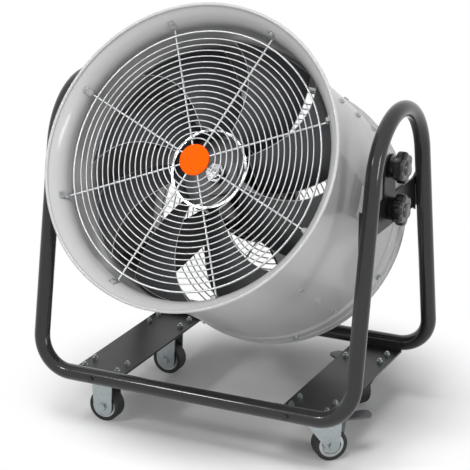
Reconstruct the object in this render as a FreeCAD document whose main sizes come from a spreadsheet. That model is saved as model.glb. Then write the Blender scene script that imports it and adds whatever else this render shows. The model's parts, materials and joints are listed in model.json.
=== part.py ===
import FreeCAD, Part
import math
import operator
import os
from types import SimpleNamespace

import Sketcher
from FreeCAD import Placement, Rotation, Vector

# A portable drum fan: a round steel drum with an axial impeller and its motor, tilting between two knobs on
# each side in a bent tube frame on four casters. Millimetres and degrees; X to the right, Y to the back,
# Z up, with the floor at Z 0 and the middle of the frame over the origin. The drum's front faces -Y.

SIZES = {
    # clearances shared by all pieces
    "overrun": 5.0,
    "weld_gap": 0.2,
    "slide_gap": 0.3,
    "running_gap": 0.05,
    "hole_gap": 0.25,
    # bent tube frame, measured on the tube's middle line
    "tube_diameter": 38.0,
    "tube_wall": 2.5,
    "frame_width": 811.0,
    "rail_spacing": 519.0,
    "rail_height": 151.0,
    "frame_height": 819.5,
    "arch_radius": 160.5,
    "corner_radius": 85.0,
    # cross plates between the rails
    "cross_plate_spacing": 550.0,
    "cross_plate_width": 130.0,
    "cross_plate_thickness": 5.0,
    "cross_plate_drop": 12.0,
    "cross_flange_height": 27.0,
    "rail_screw_inset": 21.0,
    "rail_screw_diameter": 8.0,
    "rail_screw_head_diameter": 13.0,
    "rail_screw_head_height": 4.5,
    "rail_screw_nut_height": 6.5,
    # pivot plates welded inside the hoops
    "pivot_height": 586.0,
    "pivot_plate_thickness": 5.0,
    "pivot_bar_below": 43.0,
    "pivot_bar_above": 30.0,
    "pivot_bar_overlap": 6.0,
    "pivot_gusset_length": 28.0,
    "pivot_gusset_height": 10.0,
    "tongue_width": 70.0,
    "clamp_radius": 100.0,
    "tongue_beyond_clamp": 29.0,
    # studs and star knobs
    "stud_diameter": 12.0,
    "stud_head_diameter": 26.0,
    "stud_head_height": 6.0,
    "stud_end_cover": 12.0,
    "knob_diameter": 76.0,
    "knob_depth": 44.0,
    "knob_collar_diameter": 54.0,
    "knob_collar_depth": 15.0,
    "knob_core_diameter": 60.0,
    "knob_lobe_diameter": 20.0,
    "knob_lobes": 6,
    "knob_cap_diameter": 34.0,
    "knob_cap_depth": 3.0,
    # casters
    "caster_bay": 332.0,
    "wheel_diameter": 80.0,
    "wheel_width": 36.0,
    "tyre_depth": 10.0,
    "tyre_shoulder": 4.0,
    "tyre_bead": 1.5,
    "wheel_side_gap": 3.0,
    "wheel_hub_diameter": 24.0,
    "wheel_web_thickness": 9.0,
    "wheel_rim_depth": 6.0,
    "wheel_hub_end_gap": 0.5,
    "axle_diameter": 10.0,
    "axle_head_flats": 17.0,
    "axle_head_height": 6.0,
    "axle_nut_height": 8.0,
    "caster_plate_length": 112.0,
    "caster_plate_width": 76.0,
    "caster_plate_thickness": 3.0,
    "caster_bolt_pitch_long": 90.0,
    "caster_bolt_pitch_wide": 50.0,
    "caster_bolt_diameter": 8.0,
    "caster_bolt_flats": 13.0,
    "caster_bolt_head_height": 5.5,
    "caster_nut_height": 6.5,
    "caster_bolt_tail": 5.0,
    "fork_thickness": 3.0,
    "rigid_fork_top_width": 57.0,
    "rigid_fork_end_width": 50.0,
    "caster_trail": 40.0,
    "front_caster_turn": 43.0,
    "rear_caster_turn": 146.0,
    "king_pin_diameter": 16.0,
    "king_pin_head_diameter": 25.0,
    "king_pin_head_height": 4.0,
    "race_diameter": 56.0,
    "race_bore": 22.0,
    "race_depth": 9.0,
    "race_seat_depth": 4.7,
    "fork_top_thickness": 4.0,
    "fork_top_lead": 28.0,
    "fork_top_trail": 38.0,
    "fork_shoulder_depth": 9.0,
    "fork_end_width": 36.0,
    "fork_ear_reach": 62.0,
    "fork_ear_drop": 32.0,
    "brake_pin_offset": 6.0,
    "brake_pin_rise": 60.0,
    "brake_pin_diameter": 8.0,
    "brake_pin_head_diameter": 12.0,
    "brake_pin_head_height": 2.0,
    "pedal_reach": 103.0,
    "pedal_thickness": 5.0,
    "pedal_boss": 8.0,
    "pedal_shoe_start": 18.0,
    "pedal_shoe_end": 30.0,
    "pedal_tip_radius": 14.0,
    "pedal_lift": 16.0,
    # drum shell, measured from the tilt axis along the drum's own axis
    "drum_tilt": 29.2,
    "tilt_up_limit": 90.0,
    "tilt_down_limit": 30.0,
    "shell_thickness": 2.5,
    "throat_radius": 322.0,
    "rim_radius": 358.5,
    "front_reach": 295.6,
    "rear_reach": 290.6,
    "flare_depth": 60.0,
    "rim_bead_radius": 4.0,
    "rear_bead_radius": 3.0,
    "rear_band_width": 60.0,
    "rear_band_step": 5.0,
    "rear_band_slope": 6.0,
    "band_rib_radius": 3.0,
    "band_rib_inset": 27.0,
    # wire guards
    "guard_spokes": 8,
    "guard_turn": 22.5,
    "ring_wire_radius": 1.6,
    "spoke_wire_radius": 2.5,
    "weld_sink": 0.5,
    "front_guard_reach": 256.6,
    "guard_outer_radius": 303.4,
    "guard_second_radius": 285.4,
    "guard_inner_radius": 50.6,
    "guard_rings": 18,
    "guard_centre_radius": 34.0,
    "guard_centre_thickness": 6.0,
    "badge_radius": 36.0,
    "badge_thickness": 4.0,
    "badge_crown": 1.5,
    "guard_tab_width": 14.0,
    "guard_tab_length": 26.0,
    "guard_tab_thickness": 3.0,
    "guard_bolt_flare_angle": 27.0,
    "guard_bolt_diameter": 6.0,
    "guard_bolt_head_diameter": 13.0,
    "guard_bolt_head_height": 4.5,
    "guard_bolt_nut_height": 5.0,
    "rear_guard_reach": 262.0,
    "rear_guard_outer_radius": 316.0,
    "rear_screw_reach": 247.0,
    # side brackets on the drum
    "bracket_thickness": 5.0,
    "bracket_sector_radius": 118.0,
    "bracket_sector_margin": 9.0,
    "bracket_leg_spread": 72.0,
    "bracket_leg_height": 72.0,
    "bracket_foot_length": 30.0,
    "bracket_foot_turn": 12.6,
    "bracket_bolt_pitch": 40.0,
    "bracket_bolt_inset": 19.0,
    "drum_bolt_diameter": 8.0,
    "drum_bolt_flats": 13.0,
    "drum_bolt_head_height": 5.5,
    "drum_bolt_nut_height": 5.0,
    # impeller
    "blade_count": 8,
    "blade_turn": 8.0,
    "hub_radius": 94.0,
    "hub_front": 176.0,
    "hub_depth": 112.0,
    "hub_wall": 5.0,
    "hub_web_front": 116.0,
    "hub_web_thickness": 10.0,
    "hub_boss_radius": 34.0,
    "hub_boss_depth": 36.0,
    "clamp_disc_radius": 50.0,
    "clamp_disc_thickness": 6.0,
    "blade_tip_radius": 314.0,
    "blade_thickness": 4.0,
    "blade_edge_thickness": 1.6,
    "blade_camber": 9.0,
    "root_lead_angle": 18.0,
    "root_trail_angle": 21.0,
    "tip_lead_angle": 41.0,
    "tip_trail_angle": 5.0,
    "root_lead_reach": 166.0,
    "root_trail_reach": 74.0,
    "tip_lead_reach": 150.0,
    "tip_trail_reach": 92.0,
    # motor
    "shaft_diameter": 28.0,
    "shaft_nut_flats": 41.0,
    "shaft_nut_height": 16.0,
    "shaft_tail": 6.0,
    "shaft_clearance": 1.0,
    "motor_radius": 88.0,
    "motor_wall": 5.0,
    "motor_front": 45.0,
    "motor_length": 210.0,
    "fin_height": 10.0,
    "fin_thickness": 3.0,
    "fin_count": 24,
    "cap_thickness": 14.0,
    "cap_nose_radius": 44.0,
    "bearing_radius": 31.0,
    "bearing_width": 16.0,
    "stator_bore": 108.0,
    "stator_length": 130.0,
    "air_gap": 1.0,
    "mount_band_width": 25.0,
    "mount_band_thickness": 5.0,
    "mount_band_spacing": 120.0,
    "arm_count": 4,
    "arm_turn": 45.0,
    "arm_web_turn": 2.8,
    "arm_thickness": 5.0,
    "arm_front": 55.0,
    "arm_rear": 225.0,
    "arm_foot_thickness": 4.0,
    "arm_foot_turn": 7.0,
    "arm_bolt_front": 35.0,
    "arm_bolt_pitch": 120.0,
    "terminal_box_width": 80.0,
    "terminal_box_length": 66.0,
    "terminal_box_height": 40.0,
    "terminal_box_reach": 40.0,
    "terminal_lid_height": 12.0,
    "terminal_lid_lip": 3.0,
    "gland_turn": 160.0,
    "gland_reach": 150.0,
    "gland_thread_diameter": 20.0,
    "gland_flats": 27.0,
    "gland_hex_height": 9.0,
    "gland_cap_diameter": 24.0,
    "gland_cap_height": 16.0,
    "gland_bore": 11.0,
    "gland_lock_height": 5.0,
    # shares: the part of the blade's sweep that grows evenly, and of a guard tab behind its bolt
    "even_sweep_share": 0.4,
    "tab_back_share": 0.62,
}

OPERATIONS = {"+": operator.add, "-": operator.sub, "*": operator.mul, "/": operator.truediv}
COUNTS = ("knob_lobes", "guard_spokes", "guard_rings", "blade_count", "fin_count", "arm_count")


class Size:
    """A size as an expression of the sheet's cells, together with its present value."""

    def __init__(self, text, value):
        self.text = text
        self.value = value

    def __add__(self, other):
        return combine(self, "+", other)

    def __radd__(self, other):
        return combine(other, "+", self)

    def __sub__(self, other):
        return combine(self, "-", other)

    def __rsub__(self, other):
        return combine(other, "-", self)

    def __mul__(self, other):
        return combine(self, "*", other)

    def __rmul__(self, other):
        return combine(other, "*", self)

    def __truediv__(self, other):
        return combine(self, "/", other)

    def __rtruediv__(self, other):
        return combine(other, "/", self)

    def __neg__(self):
        return combine(0, "-", self)


def as_size(value):
    return value if isinstance(value, Size) else Size(repr(value), float(value))


def combine(left, sign, right):
    left = as_size(left)
    right = as_size(right)
    return Size(f"({left.text} {sign} {right.text})", OPERATIONS[sign](left.value, right.value))


def sine(angle):
    return Size(f"sin({angle.text})", math.sin(math.radians(angle.value)))


def cosine(angle):
    return Size(f"cos({angle.text})", math.cos(math.radians(angle.value)))


def tangent(angle):
    return Size(f"tan({angle.text})", math.tan(math.radians(angle.value)))


def root(area):
    return Size(f"sqrt({area.text})", math.sqrt(area.value))


def angle_of_slope(rise, run):
    slope = rise / run
    return Size(f"atan({slope.text})", math.degrees(math.atan(slope.value)))


def angle_of_share(opposite, longest):
    share = opposite / longest
    return Size(f"asin({share.text})", math.degrees(math.asin(share.value)))


doc = FreeCAD.newDocument("drum_fan")
sheet = doc.addObject("Spreadsheet::Sheet", "Sizes")
for row, (name, value) in enumerate(SIZES.items(), start=1):
    sheet.set(f"A{row}", name)
    sheet.set(f"B{row}", str(value))
    sheet.setAlias(f"B{row}", name)
doc.recompute()
dim = SimpleNamespace(**{name: Size(f"Sizes.{name}", sheet.get(name)) for name in SIZES})
count = SimpleNamespace(**{name: int(sheet.get(name)) for name in COUNTS})
nodes = []

HEX_CORNER_SHARE = 1 / math.sqrt(3)


# Helpers for sketches, features and places


def bind(item, property_name, size):
    item.setExpression(property_name, as_size(size).text)


def origin_item(body, role):
    return next(item for item in body.Origin.OriginFeatures if item.Role == role)


def new_body(label):
    body = doc.addObject("PartDesign::Body", label)
    body.Label = label
    body.AllowCompound = True
    nodes.append(body)
    return body


def new_sketch(body, role, offset=None, turn=None, turn_axis=None):
    """A sketch on one of the body's own planes, moved along the plane's normal or turned in place."""
    sketch = body.newObject("Sketcher::SketchObject", f"{body.Name}_sketch")
    sketch.AttachmentSupport = [(origin_item(body, role), "")]
    sketch.MapMode = "FlatFace"
    if turn is not None:
        sketch.AttachmentOffset = Placement(Vector(), Rotation(turn_axis, turn.value))
        bind(sketch, "AttachmentOffset.Rotation.Angle", turn)
    if offset is not None:
        bind(sketch, "AttachmentOffset.Base.z", offset)
    return sketch


def radial_sketch(body, angle, start=None):
    """A sketch across the drum's radius at an angle from the right hand side: along the drum, then across."""
    sketch = new_sketch(body, "YZ_Plane", turn=-angle, turn_axis=Vector(1, 0, 0))
    if start is not None:
        bind(sketch, "AttachmentOffset.Base.y", start * sine(angle))
        bind(sketch, "AttachmentOffset.Base.z", start * cosine(angle))
    return sketch


def meridian_sketch(body, angle=None):
    """A sketch of radius and place along the drum's axis."""
    if angle is None:
        return new_sketch(body, "XY_Plane")
    return new_sketch(body, "XY_Plane", turn=-angle, turn_axis=Vector(0, 1, 0))


def tie(sketch, kind, references, size):
    index = sketch.addConstraint(Sketcher.Constraint(kind, *references, size.value))
    sketch.setExpression(f"Constraints[{index}]", size.text)


def tie_point(sketch, geometry, end, point):
    for kind, axis, place in (("DistanceX", -2, point[0]), ("DistanceY", -1, point[1])):
        if isinstance(place, Size):
            tie(sketch, kind, (-1, 1, geometry, end), place)
        else:
            sketch.addConstraint(Sketcher.Constraint("PointOnObject", geometry, end, axis))


def flat_vector(point):
    return Vector(as_size(point[0]).value, as_size(point[1]).value, 0)


def arc_between(start, finish, radius):
    """The short arc from start to finish: counter-clockwise for a positive radius."""
    chord = finish - start
    side = Vector(-chord.y, chord.x, 0).normalize()
    height = math.sqrt(max(radius * radius - chord.Length * chord.Length / 4, 0))
    centre = (start + finish) / 2 + side * math.copysign(height, radius)
    ends = [start, finish] if radius > 0 else [finish, start]
    angles = [math.atan2(end.y - centre.y, end.x - centre.x) for end in ends]
    return Part.ArcOfCircle(Part.Circle(centre, Vector(0, 0, 1), abs(radius)), *angles)


def outline(sketch, points):
    """A closed outline. A third value at a point is the radius of the arc that leads to the next point."""
    runs = []
    for index, point in enumerate(points):
        start = flat_vector(point)
        finish = flat_vector(points[(index + 1) % len(points)])
        if len(point) == 2:
            line = sketch.addGeometry(Part.LineSegment(start, finish), False)
            runs.append((line, 1, 2))
            continue
        radius = point[2]
        arc = sketch.addGeometry(arc_between(start, finish, radius.value), False)
        runs.append((arc, 1, 2) if radius.value > 0 else (arc, 2, 1))
        tie(sketch, "Radius", (arc,), radius if radius.value > 0 else -radius)
    for index, (geometry, first, last) in enumerate(runs):
        following = runs[(index + 1) % len(runs)]
        sketch.addConstraint(Sketcher.Constraint("Coincident", geometry, last, following[0], following[1]))
        tie_point(sketch, geometry, first, points[index])
    return sketch


def circle(sketch, point, radius):
    geometry = sketch.addGeometry(Part.Circle(flat_vector(point), Vector(0, 0, 1), radius.value), False)
    tie(sketch, "Radius", (geometry,), radius)
    tie_point(sketch, geometry, 3, point)
    return sketch


def axis_line(sketch, start, finish):
    line = sketch.addGeometry(Part.LineSegment(flat_vector(start), flat_vector(finish)), True)
    tie_point(sketch, line, 1, start)
    tie_point(sketch, line, 2, finish)


def rectangle(sketch, low, high):
    return outline(sketch, [low, (high[0], low[1]), high, (low[0], high[1])])


def hexagon(sketch, point, flats):
    """A hexagon on a point, with two corners across the sketch."""
    half = flats / 2
    side = half * HEX_CORNER_SHARE
    across, along = as_size(point[0]), as_size(point[1])
    corners = [(2, 0), (1, 1), (-1, 1), (-2, 0), (-1, -1), (1, -1)]
    return outline(sketch, [(across + side * right, along + half * up) for right, up in corners])


def pad(body, sketch, length, symmetric=False):
    feature = body.newObject("PartDesign::Pad", f"{body.Name}_pad")
    feature.Profile = sketch
    if symmetric:
        feature.SideType = "Symmetric"
    bind(feature, "Length", length)
    return feature


def pocket(body, sketch, length, symmetric=False):
    """A cut along the sketch's normal, or to both sides of it."""
    feature = body.newObject("PartDesign::Pocket", f"{body.Name}_pocket")
    feature.Profile = sketch
    feature.Reversed = not symmetric
    if symmetric:
        feature.SideType = "Symmetric"
    bind(feature, "Length", length)
    return feature


def revolve(body, sketch, axis="V_Axis", turn=None, cut=False):
    kind = "Groove" if cut else "Revolution"
    feature = body.newObject(f"PartDesign::{kind}", f"{body.Name}_{kind.lower()}")
    feature.Profile = sketch
    feature.ReferenceAxis = (sketch, [axis])
    feature.Angle = 360
    if turn is not None:
        feature.Midplane = True
        bind(feature, "Angle", turn)
    return feature


def around(body, features, copies):
    """Repeats features around the body's Y axis."""
    pattern = body.newObject("PartDesign::PolarPattern", f"{body.Name}_pattern")
    pattern.Originals = features
    pattern.Axis = (origin_item(body, "Y_Axis"), [""])
    pattern.Angle = 360
    pattern.Occurrences = copies
    body.Tip = pattern
    return pattern


def stand(item, x=0, y=0, z=0, turn=None):
    """Moves a node to its place over the floor, turned about an upright axis."""
    if turn is not None:
        item.Placement = Placement(Vector(), Rotation(Vector(0, 0, 1), turn.value))
        bind(item, "Placement.Rotation.Angle", turn)
    for axis, place in zip("xyz", (x, y, z)):
        if isinstance(place, Size):
            bind(item, f"Placement.Base.{axis}", place)


def hang(item, roll=None):
    """Moves a node from the drum's level frame to the tilted drum, rolled about the drum's axis."""
    item.Placement = Placement(Vector(), Rotation(Vector(1, 0, 0), -dim.drum_tilt.value))
    base = f"vector(0; 0; {dim.pivot_height.text})"
    place = f"placement({base}; rotation(vector(1; 0; 0); 0 - {dim.drum_tilt.text}))"
    if roll is not None:
        place += f" * placement(vector(0; 0; 0); rotation(vector(0; 1; 0); 0 - {roll.text}))"
    item.setExpression("Placement", place)


def stack(body, role, spots, layers, angle=None):
    """Bolts side by side on one plane: layers of circles or hexagons, each with its start and height."""
    features = []
    for shape, width, start, height in layers:
        sketch = new_sketch(body, role, start) if angle is None else radial_sketch(body, angle, start)
        for spot in spots:
            if shape == "hexagon":
                hexagon(sketch, spot, width)
            else:
                circle(sketch, spot, width / 2)
        features.append(pad(body, sketch, height))
    return features


# Frame: hoops, rails, cross plates and pivot plates

tube_radius = dim.tube_diameter / 2
hoop_x = dim.frame_width / 2
rail_y = dim.rail_spacing / 2
arch_height = dim.frame_height - dim.arch_radius
upright_run = root(rail_y * rail_y + (arch_height - dim.rail_height) * (arch_height - dim.rail_height))
lean = angle_of_slope(rail_y, arch_height - dim.rail_height) - angle_of_share(dim.arch_radius, upright_run)
corner_x = hoop_x - dim.corner_radius


def hoop_path(side):
    """The middle line of a hoop: lower bend, upright, arch, upright, lower bend."""
    radius = dim.corner_radius.value
    arch = dim.arch_radius.value
    tilt = math.radians(lean.value)
    x = side * hoop_x.value
    inward = Vector(-side * radius, 0, 0)
    bend_share = math.sqrt(0.5)
    middle = Vector(x, 0, arch_height.value)
    halves = []
    for face in (-1, 1):
        corner = Vector(x, face * rail_y.value, dim.rail_height.value)
        rise = Vector(0, -face * math.sin(tilt), math.cos(tilt)) * radius
        bend_middle = corner + (inward + rise) * (1 - bend_share)
        tangent_point = middle + Vector(0, face * math.cos(tilt), math.sin(tilt)) * arch
        halves.append((corner + inward, bend_middle, corner + rise, tangent_point))
    front, back = halves
    edges = [
        Part.Arc(*front[:3]),
        Part.LineSegment(front[2], front[3]),
        Part.Arc(front[3], middle + Vector(0, 0, arch), back[3]),
        Part.LineSegment(back[3], back[2]),
        Part.Arc(*reversed(back[:3])),
    ]
    return Part.Wire([edge.toShape() for edge in edges])


def bent_rod(path, radius, start, heading):
    section = Part.Wire([Part.Circle(start, heading, radius).toShape()])
    return path.makePipeShell([section], True, False)


def make_hoop(label, side):
    hoop = doc.addObject("Part::Feature", label)
    path = hoop_path(side)
    start = Vector(side * corner_x.value, -rail_y.value, dim.rail_height.value)
    heading = Vector(side, 0, 0)
    outer = bent_rod(path, tube_radius.value, start, heading)
    inner = bent_rod(path, tube_radius.value - dim.tube_wall.value, start, heading)
    hoop.Shape = outer.cut(inner)
    section = math.pi * (tube_radius.value**2 - (tube_radius.value - dim.tube_wall.value) ** 2)
    if abs(hoop.Shape.Volume / (section * path.Length) - 1) > 0.01:
        raise RuntimeError(f"{label} doesn't follow its path")
    nodes.append(hoop)


def make_rail(label, face):
    """A straight tube between the hoops' lower bends, drilled for the cross plate screws."""
    rail = new_body(label)
    sketch = new_sketch(rail, "YZ_Plane")
    circle(sketch, (0, 0), tube_radius)
    circle(sketch, (0, 0), tube_radius - dim.tube_wall)
    pad(rail, sketch, corner_x * 2, symmetric=True)
    holes = new_sketch(rail, "XZ_Plane")
    for side in (-1, 1):
        circle(holes, (rail_screw_x * side, 0), dim.rail_screw_diameter / 2 + dim.hole_gap)
    pocket(rail, holes, dim.tube_diameter + dim.overrun, symmetric=True)
    stand(rail, y=rail_y * face, z=dim.rail_height)


cross_x = dim.cross_plate_spacing / 2
rail_screw_x = cross_x - dim.rail_screw_inset
cross_top = dim.rail_height - dim.cross_plate_drop
cross_bottom = cross_top - dim.cross_plate_thickness
flange_face = rail_y - tube_radius - dim.weld_gap
caster_y = dim.caster_bay / 2


def bolt_spots(centre_x, centre_y):
    """The four bolts of a caster plate."""
    return [
        (centre_x + dim.caster_bolt_pitch_long / 2 * right, centre_y + dim.caster_bolt_pitch_wide / 2 * back)
        for right in (-1, 1)
        for back in (-1, 1)
    ]


caster_hole = dim.caster_bolt_diameter / 2 + dim.hole_gap


def make_cross_plate(label, side):
    """A flat plate with its ends folded up against the rails."""
    plate = new_body(label)
    left = cross_x * side - dim.cross_plate_width / 2
    right = left + dim.cross_plate_width
    web = new_sketch(plate, "XY_Plane", cross_bottom)
    rectangle(web, (left, -flange_face), (right, flange_face))
    for face in (-1, 1):
        for spot in bolt_spots(cross_x * side, caster_y * face):
            circle(web, spot, caster_hole)
    pad(plate, web, dim.cross_plate_thickness)
    for start in (flange_face - dim.cross_plate_thickness, -flange_face):
        flange = new_sketch(plate, "XZ_Plane", start)
        rectangle(flange, (left, cross_bottom), (right, cross_bottom + dim.cross_flange_height))
        circle(flange, (rail_screw_x * side, dim.rail_height), dim.rail_screw_diameter / 2 + dim.hole_gap)
        pad(plate, flange, dim.cross_plate_thickness)


def make_rail_screws():
    """Screws through the rails into the folded ends of the cross plates."""
    screws = new_body("rail_screws")
    spots = [(rail_screw_x * side, dim.rail_height) for side in (-1, 1)]
    head = rail_y + tube_radius + dim.weld_gap
    nut = flange_face - dim.cross_plate_thickness - dim.rail_screw_nut_height
    shank = head - nut
    head_size = dim.rail_screw_head_diameter
    front = [
        ("circle", dim.rail_screw_diameter, nut, shank),
        ("circle", head_size, head, dim.rail_screw_head_height),
        ("hexagon", head_size, nut, dim.rail_screw_nut_height),
    ]
    stack(screws, "XZ_Plane", spots, front)
    back = [(shape, width, -start - height, height) for shape, width, start, height in front]
    stack(screws, "XZ_Plane", spots, back)


plate_outer = hoop_x - tube_radius - dim.weld_gap
plate_inner = plate_outer - dim.pivot_plate_thickness
clamp_height = dim.pivot_height + dim.clamp_radius
stud_hole = dim.stud_diameter / 2 + dim.running_gap


def make_pivot_plate(label, side):
    """An inverted T: a bar between the uprights and a tongue for the clamp knob."""
    plate = new_body(label)
    low = dim.pivot_height - dim.pivot_bar_below
    high = dim.pivot_height + dim.pivot_bar_above
    end = rail_y - (high - dim.rail_height) * tangent(lean) + dim.pivot_bar_overlap
    gusset = dim.pivot_gusset_length
    step = dim.pivot_gusset_height
    curve = -(gusset * gusset + step * step) / (step * 2)
    half = dim.tongue_width / 2
    round_centre = clamp_height + dim.tongue_beyond_clamp - half
    sketch = new_sketch(plate, "YZ_Plane", plate_inner if side > 0 else -plate_outer)
    outline(
        sketch,
        [
            (-end, low - step, curve),
            (-end + gusset, low),
            (end - gusset, low, curve),
            (end, low - step),
            (end, high + step, curve),
            (end - gusset, high),
            (half, high),
            (half, round_centre, half),
            (0, round_centre + half, half),
            (-half, round_centre),
            (-half, high),
            (-end + gusset, high, curve),
            (-end, high + step),
        ],
    )
    circle(sketch, (0, dim.pivot_height), stud_hole)
    circle(sketch, (0, clamp_height), stud_hole)
    pad(plate, sketch, dim.pivot_plate_thickness)


sector_outer = plate_inner - dim.slide_gap
sector_inner = sector_outer - dim.bracket_thickness
knob_start = plate_outer + dim.slide_gap
knob_end = knob_start + dim.knob_depth
stud_spots = [(0, dim.pivot_height), (0, clamp_height)]


def make_knob_studs():
    """Studs through the drum brackets and the pivot plates, which the knobs turn on."""
    studs = new_body("knob_studs")
    head = sector_inner - dim.slide_gap - dim.stud_head_height
    right = [
        ("circle", dim.stud_head_diameter, head, dim.stud_head_height),
        ("circle", dim.stud_diameter, head, knob_end - dim.stud_end_cover - head),
    ]
    stack(studs, "YZ_Plane", stud_spots, right)
    left = [(shape, width, -start - height, height) for shape, width, start, height in right]
    stack(studs, "YZ_Plane", stud_spots, left)


def make_knob(label, side, height):
    """A star knob: collar, lobed grip and cap, with a blind hole for the stud."""
    knob = new_body(label)
    grip_start = knob_start + dim.knob_collar_depth
    cap_start = knob_end - dim.knob_cap_depth
    grip_depth = cap_start - grip_start
    layers = [
        ("circle", dim.knob_collar_diameter, knob_start, dim.knob_collar_depth),
        ("circle", dim.knob_core_diameter, grip_start, grip_depth),
        ("circle", dim.knob_cap_diameter, cap_start, dim.knob_cap_depth),
    ]
    lobe_circle = dim.knob_diameter / 2 - dim.knob_lobe_diameter / 2
    lobes = []
    for number in range(count.knob_lobes):
        angle = Size(repr(number), number) * 360 / dim.knob_lobes
        lobes.append((lobe_circle * sine(angle), lobe_circle * cosine(angle)))
    hole = knob_end - dim.stud_end_cover + dim.slide_gap
    if side < 0:
        layers = [(shape, width, -start - depth, depth) for shape, width, start, depth in layers]
        grip_start = -grip_start - grip_depth
    stack(knob, "YZ_Plane", [(0, 0)], layers)
    stack(knob, "YZ_Plane", lobes, [("circle", dim.knob_lobe_diameter, grip_start, grip_depth)])
    bore = new_sketch(knob, "YZ_Plane", knob_start - dim.overrun if side > 0 else -hole)
    circle(bore, (0, 0), stud_hole)
    pocket(knob, bore, hole - knob_start + dim.overrun)
    stand(knob, z=height)


# Casters: forks, wheels, axles, brakes and their bolts

axle_height = dim.wheel_diameter / 2
cheek_inner = dim.wheel_width / 2 + dim.wheel_side_gap
cheek_outer = cheek_inner + dim.fork_thickness
caster_plate_bottom = cross_bottom - dim.caster_plate_thickness
axle_hole = dim.axle_diameter / 2 + dim.running_gap


def caster_plate(body):
    sketch = new_sketch(body, "XY_Plane", caster_plate_bottom)
    half_length = dim.caster_plate_length / 2
    half_width = dim.caster_plate_width / 2
    rectangle(sketch, (-half_length, -half_width), (half_length, half_width))
    for spot in bolt_spots(as_size(0), as_size(0)):
        circle(sketch, spot, caster_hole)
    pad(body, sketch, dim.caster_plate_thickness)


def cheeks(body, points, holes):
    """The two side walls of a fork."""
    for start in (cheek_inner, -cheek_outer):
        sketch = new_sketch(body, "XZ_Plane", start)
        outline(sketch, points)
        for spot, radius in holes:
            circle(sketch, spot, radius)
        pad(body, sketch, dim.fork_thickness)


def make_rigid_fork(label, face):
    fork = new_body(label)
    caster_plate(fork)
    top = dim.rigid_fork_top_width / 2
    end = dim.rigid_fork_end_width / 2
    joint = caster_plate_bottom + dim.caster_plate_thickness / 2
    points = [
        (-top, joint),
        (-end, axle_height, end),
        (0, axle_height - end, end),
        (end, axle_height),
        (top, joint),
    ]
    cheeks(fork, points, [((0, axle_height), axle_hole)])
    stand(fork, x=-cross_x, y=caster_y * face)


def axle_layers():
    head = cheek_outer
    nut = -cheek_outer - dim.axle_nut_height
    return [
        ("circle", dim.axle_diameter, nut - dim.weld_gap, head - nut + dim.weld_gap),
        ("hexagon", dim.axle_head_flats, head, dim.axle_head_height),
        ("hexagon", dim.axle_head_flats, nut, dim.axle_nut_height),
    ]


def make_rigid_axles():
    axles = new_body("rigid_axles")
    for face in (-1, 1):
        layers = []
        for shape, width, start, height in axle_layers():
            layers.append((shape, width, start - caster_y * face, height))
        stack(axles, "XZ_Plane", [(-cross_x, axle_height)], layers)


def make_swivel_axle(label, face, turn):
    axle = new_body(label)
    stack(axle, "XZ_Plane", [(dim.caster_trail, axle_height)], axle_layers())
    stand(axle, x=cross_x, y=caster_y * face, turn=turn)


race_bottom = caster_plate_bottom - dim.race_depth
seat_top = race_bottom - dim.slide_gap
fork_top = seat_top - dim.race_seat_depth
fork_roof = fork_top - dim.fork_top_thickness
pin_head_top = fork_roof - dim.slide_gap


def make_swivel_plate(label, face):
    """The fixed top plate of a swivel caster with its ball race and king pin."""
    plate = new_body(label)
    caster_plate(plate)
    pin_bottom = pin_head_top - dim.king_pin_head_height
    layers = [
        ("circle", dim.race_diameter, race_bottom, dim.race_depth),
        ("circle", dim.king_pin_diameter, pin_bottom, race_bottom - pin_bottom),
        ("circle", dim.king_pin_head_diameter, pin_bottom, dim.king_pin_head_height),
    ]
    stack(plate, "XY_Plane", [(0, 0)], layers)
    stand(plate, x=cross_x, y=caster_y * face)


brake_pin = (dim.caster_trail + dim.brake_pin_offset, axle_height + dim.brake_pin_rise)


def make_swivel_fork(label, face, turn):
    """A fork that trails behind its king pin, with ears for the brake pedal."""
    fork = new_body(label)
    roof = new_sketch(fork, "XY_Plane", fork_roof)
    rectangle(roof, (-dim.fork_top_lead, -cheek_outer), (dim.fork_top_trail, cheek_outer))
    circle(roof, (0, 0), dim.king_pin_diameter / 2 + dim.running_gap)
    pad(fork, roof, dim.fork_top_thickness)
    seat = new_sketch(fork, "XY_Plane", fork_top)
    circle(seat, (0, 0), dim.race_diameter / 2 - dim.fork_thickness)
    circle(seat, (0, 0), dim.race_bore / 2)
    pad(fork, seat, dim.race_seat_depth)
    end = dim.fork_end_width / 2
    trail = dim.caster_trail
    points = [
        (-dim.fork_top_lead, fork_top),
        (-dim.fork_top_lead, fork_top - dim.fork_shoulder_depth),
        (trail - end, axle_height, end),
        (trail, axle_height - end, end),
        (trail + end, axle_height),
        (dim.fork_ear_reach, fork_top - dim.fork_ear_drop),
        (dim.fork_ear_reach, fork_top - dim.fork_shoulder_depth),
        (dim.fork_top_trail, fork_top),
    ]
    pin_hole = dim.brake_pin_diameter / 2 + dim.running_gap
    cheeks(fork, points, [((trail, axle_height), axle_hole), (brake_pin, pin_hole)])
    stand(fork, x=cross_x, y=caster_y * face, turn=turn)


def make_brake_pin(label, face, turn):
    pin = new_body(label)
    head = dim.brake_pin_head_height
    layers = [
        ("circle", dim.brake_pin_diameter, -cheek_outer - head, (cheek_outer + head) * 2),
        ("circle", dim.brake_pin_head_diameter, cheek_outer, head),
        ("circle", dim.brake_pin_head_diameter, -cheek_outer - head, head),
    ]
    stack(pin, "XZ_Plane", [brake_pin], layers)
    stand(pin, x=cross_x, y=caster_y * face, turn=turn)


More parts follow.
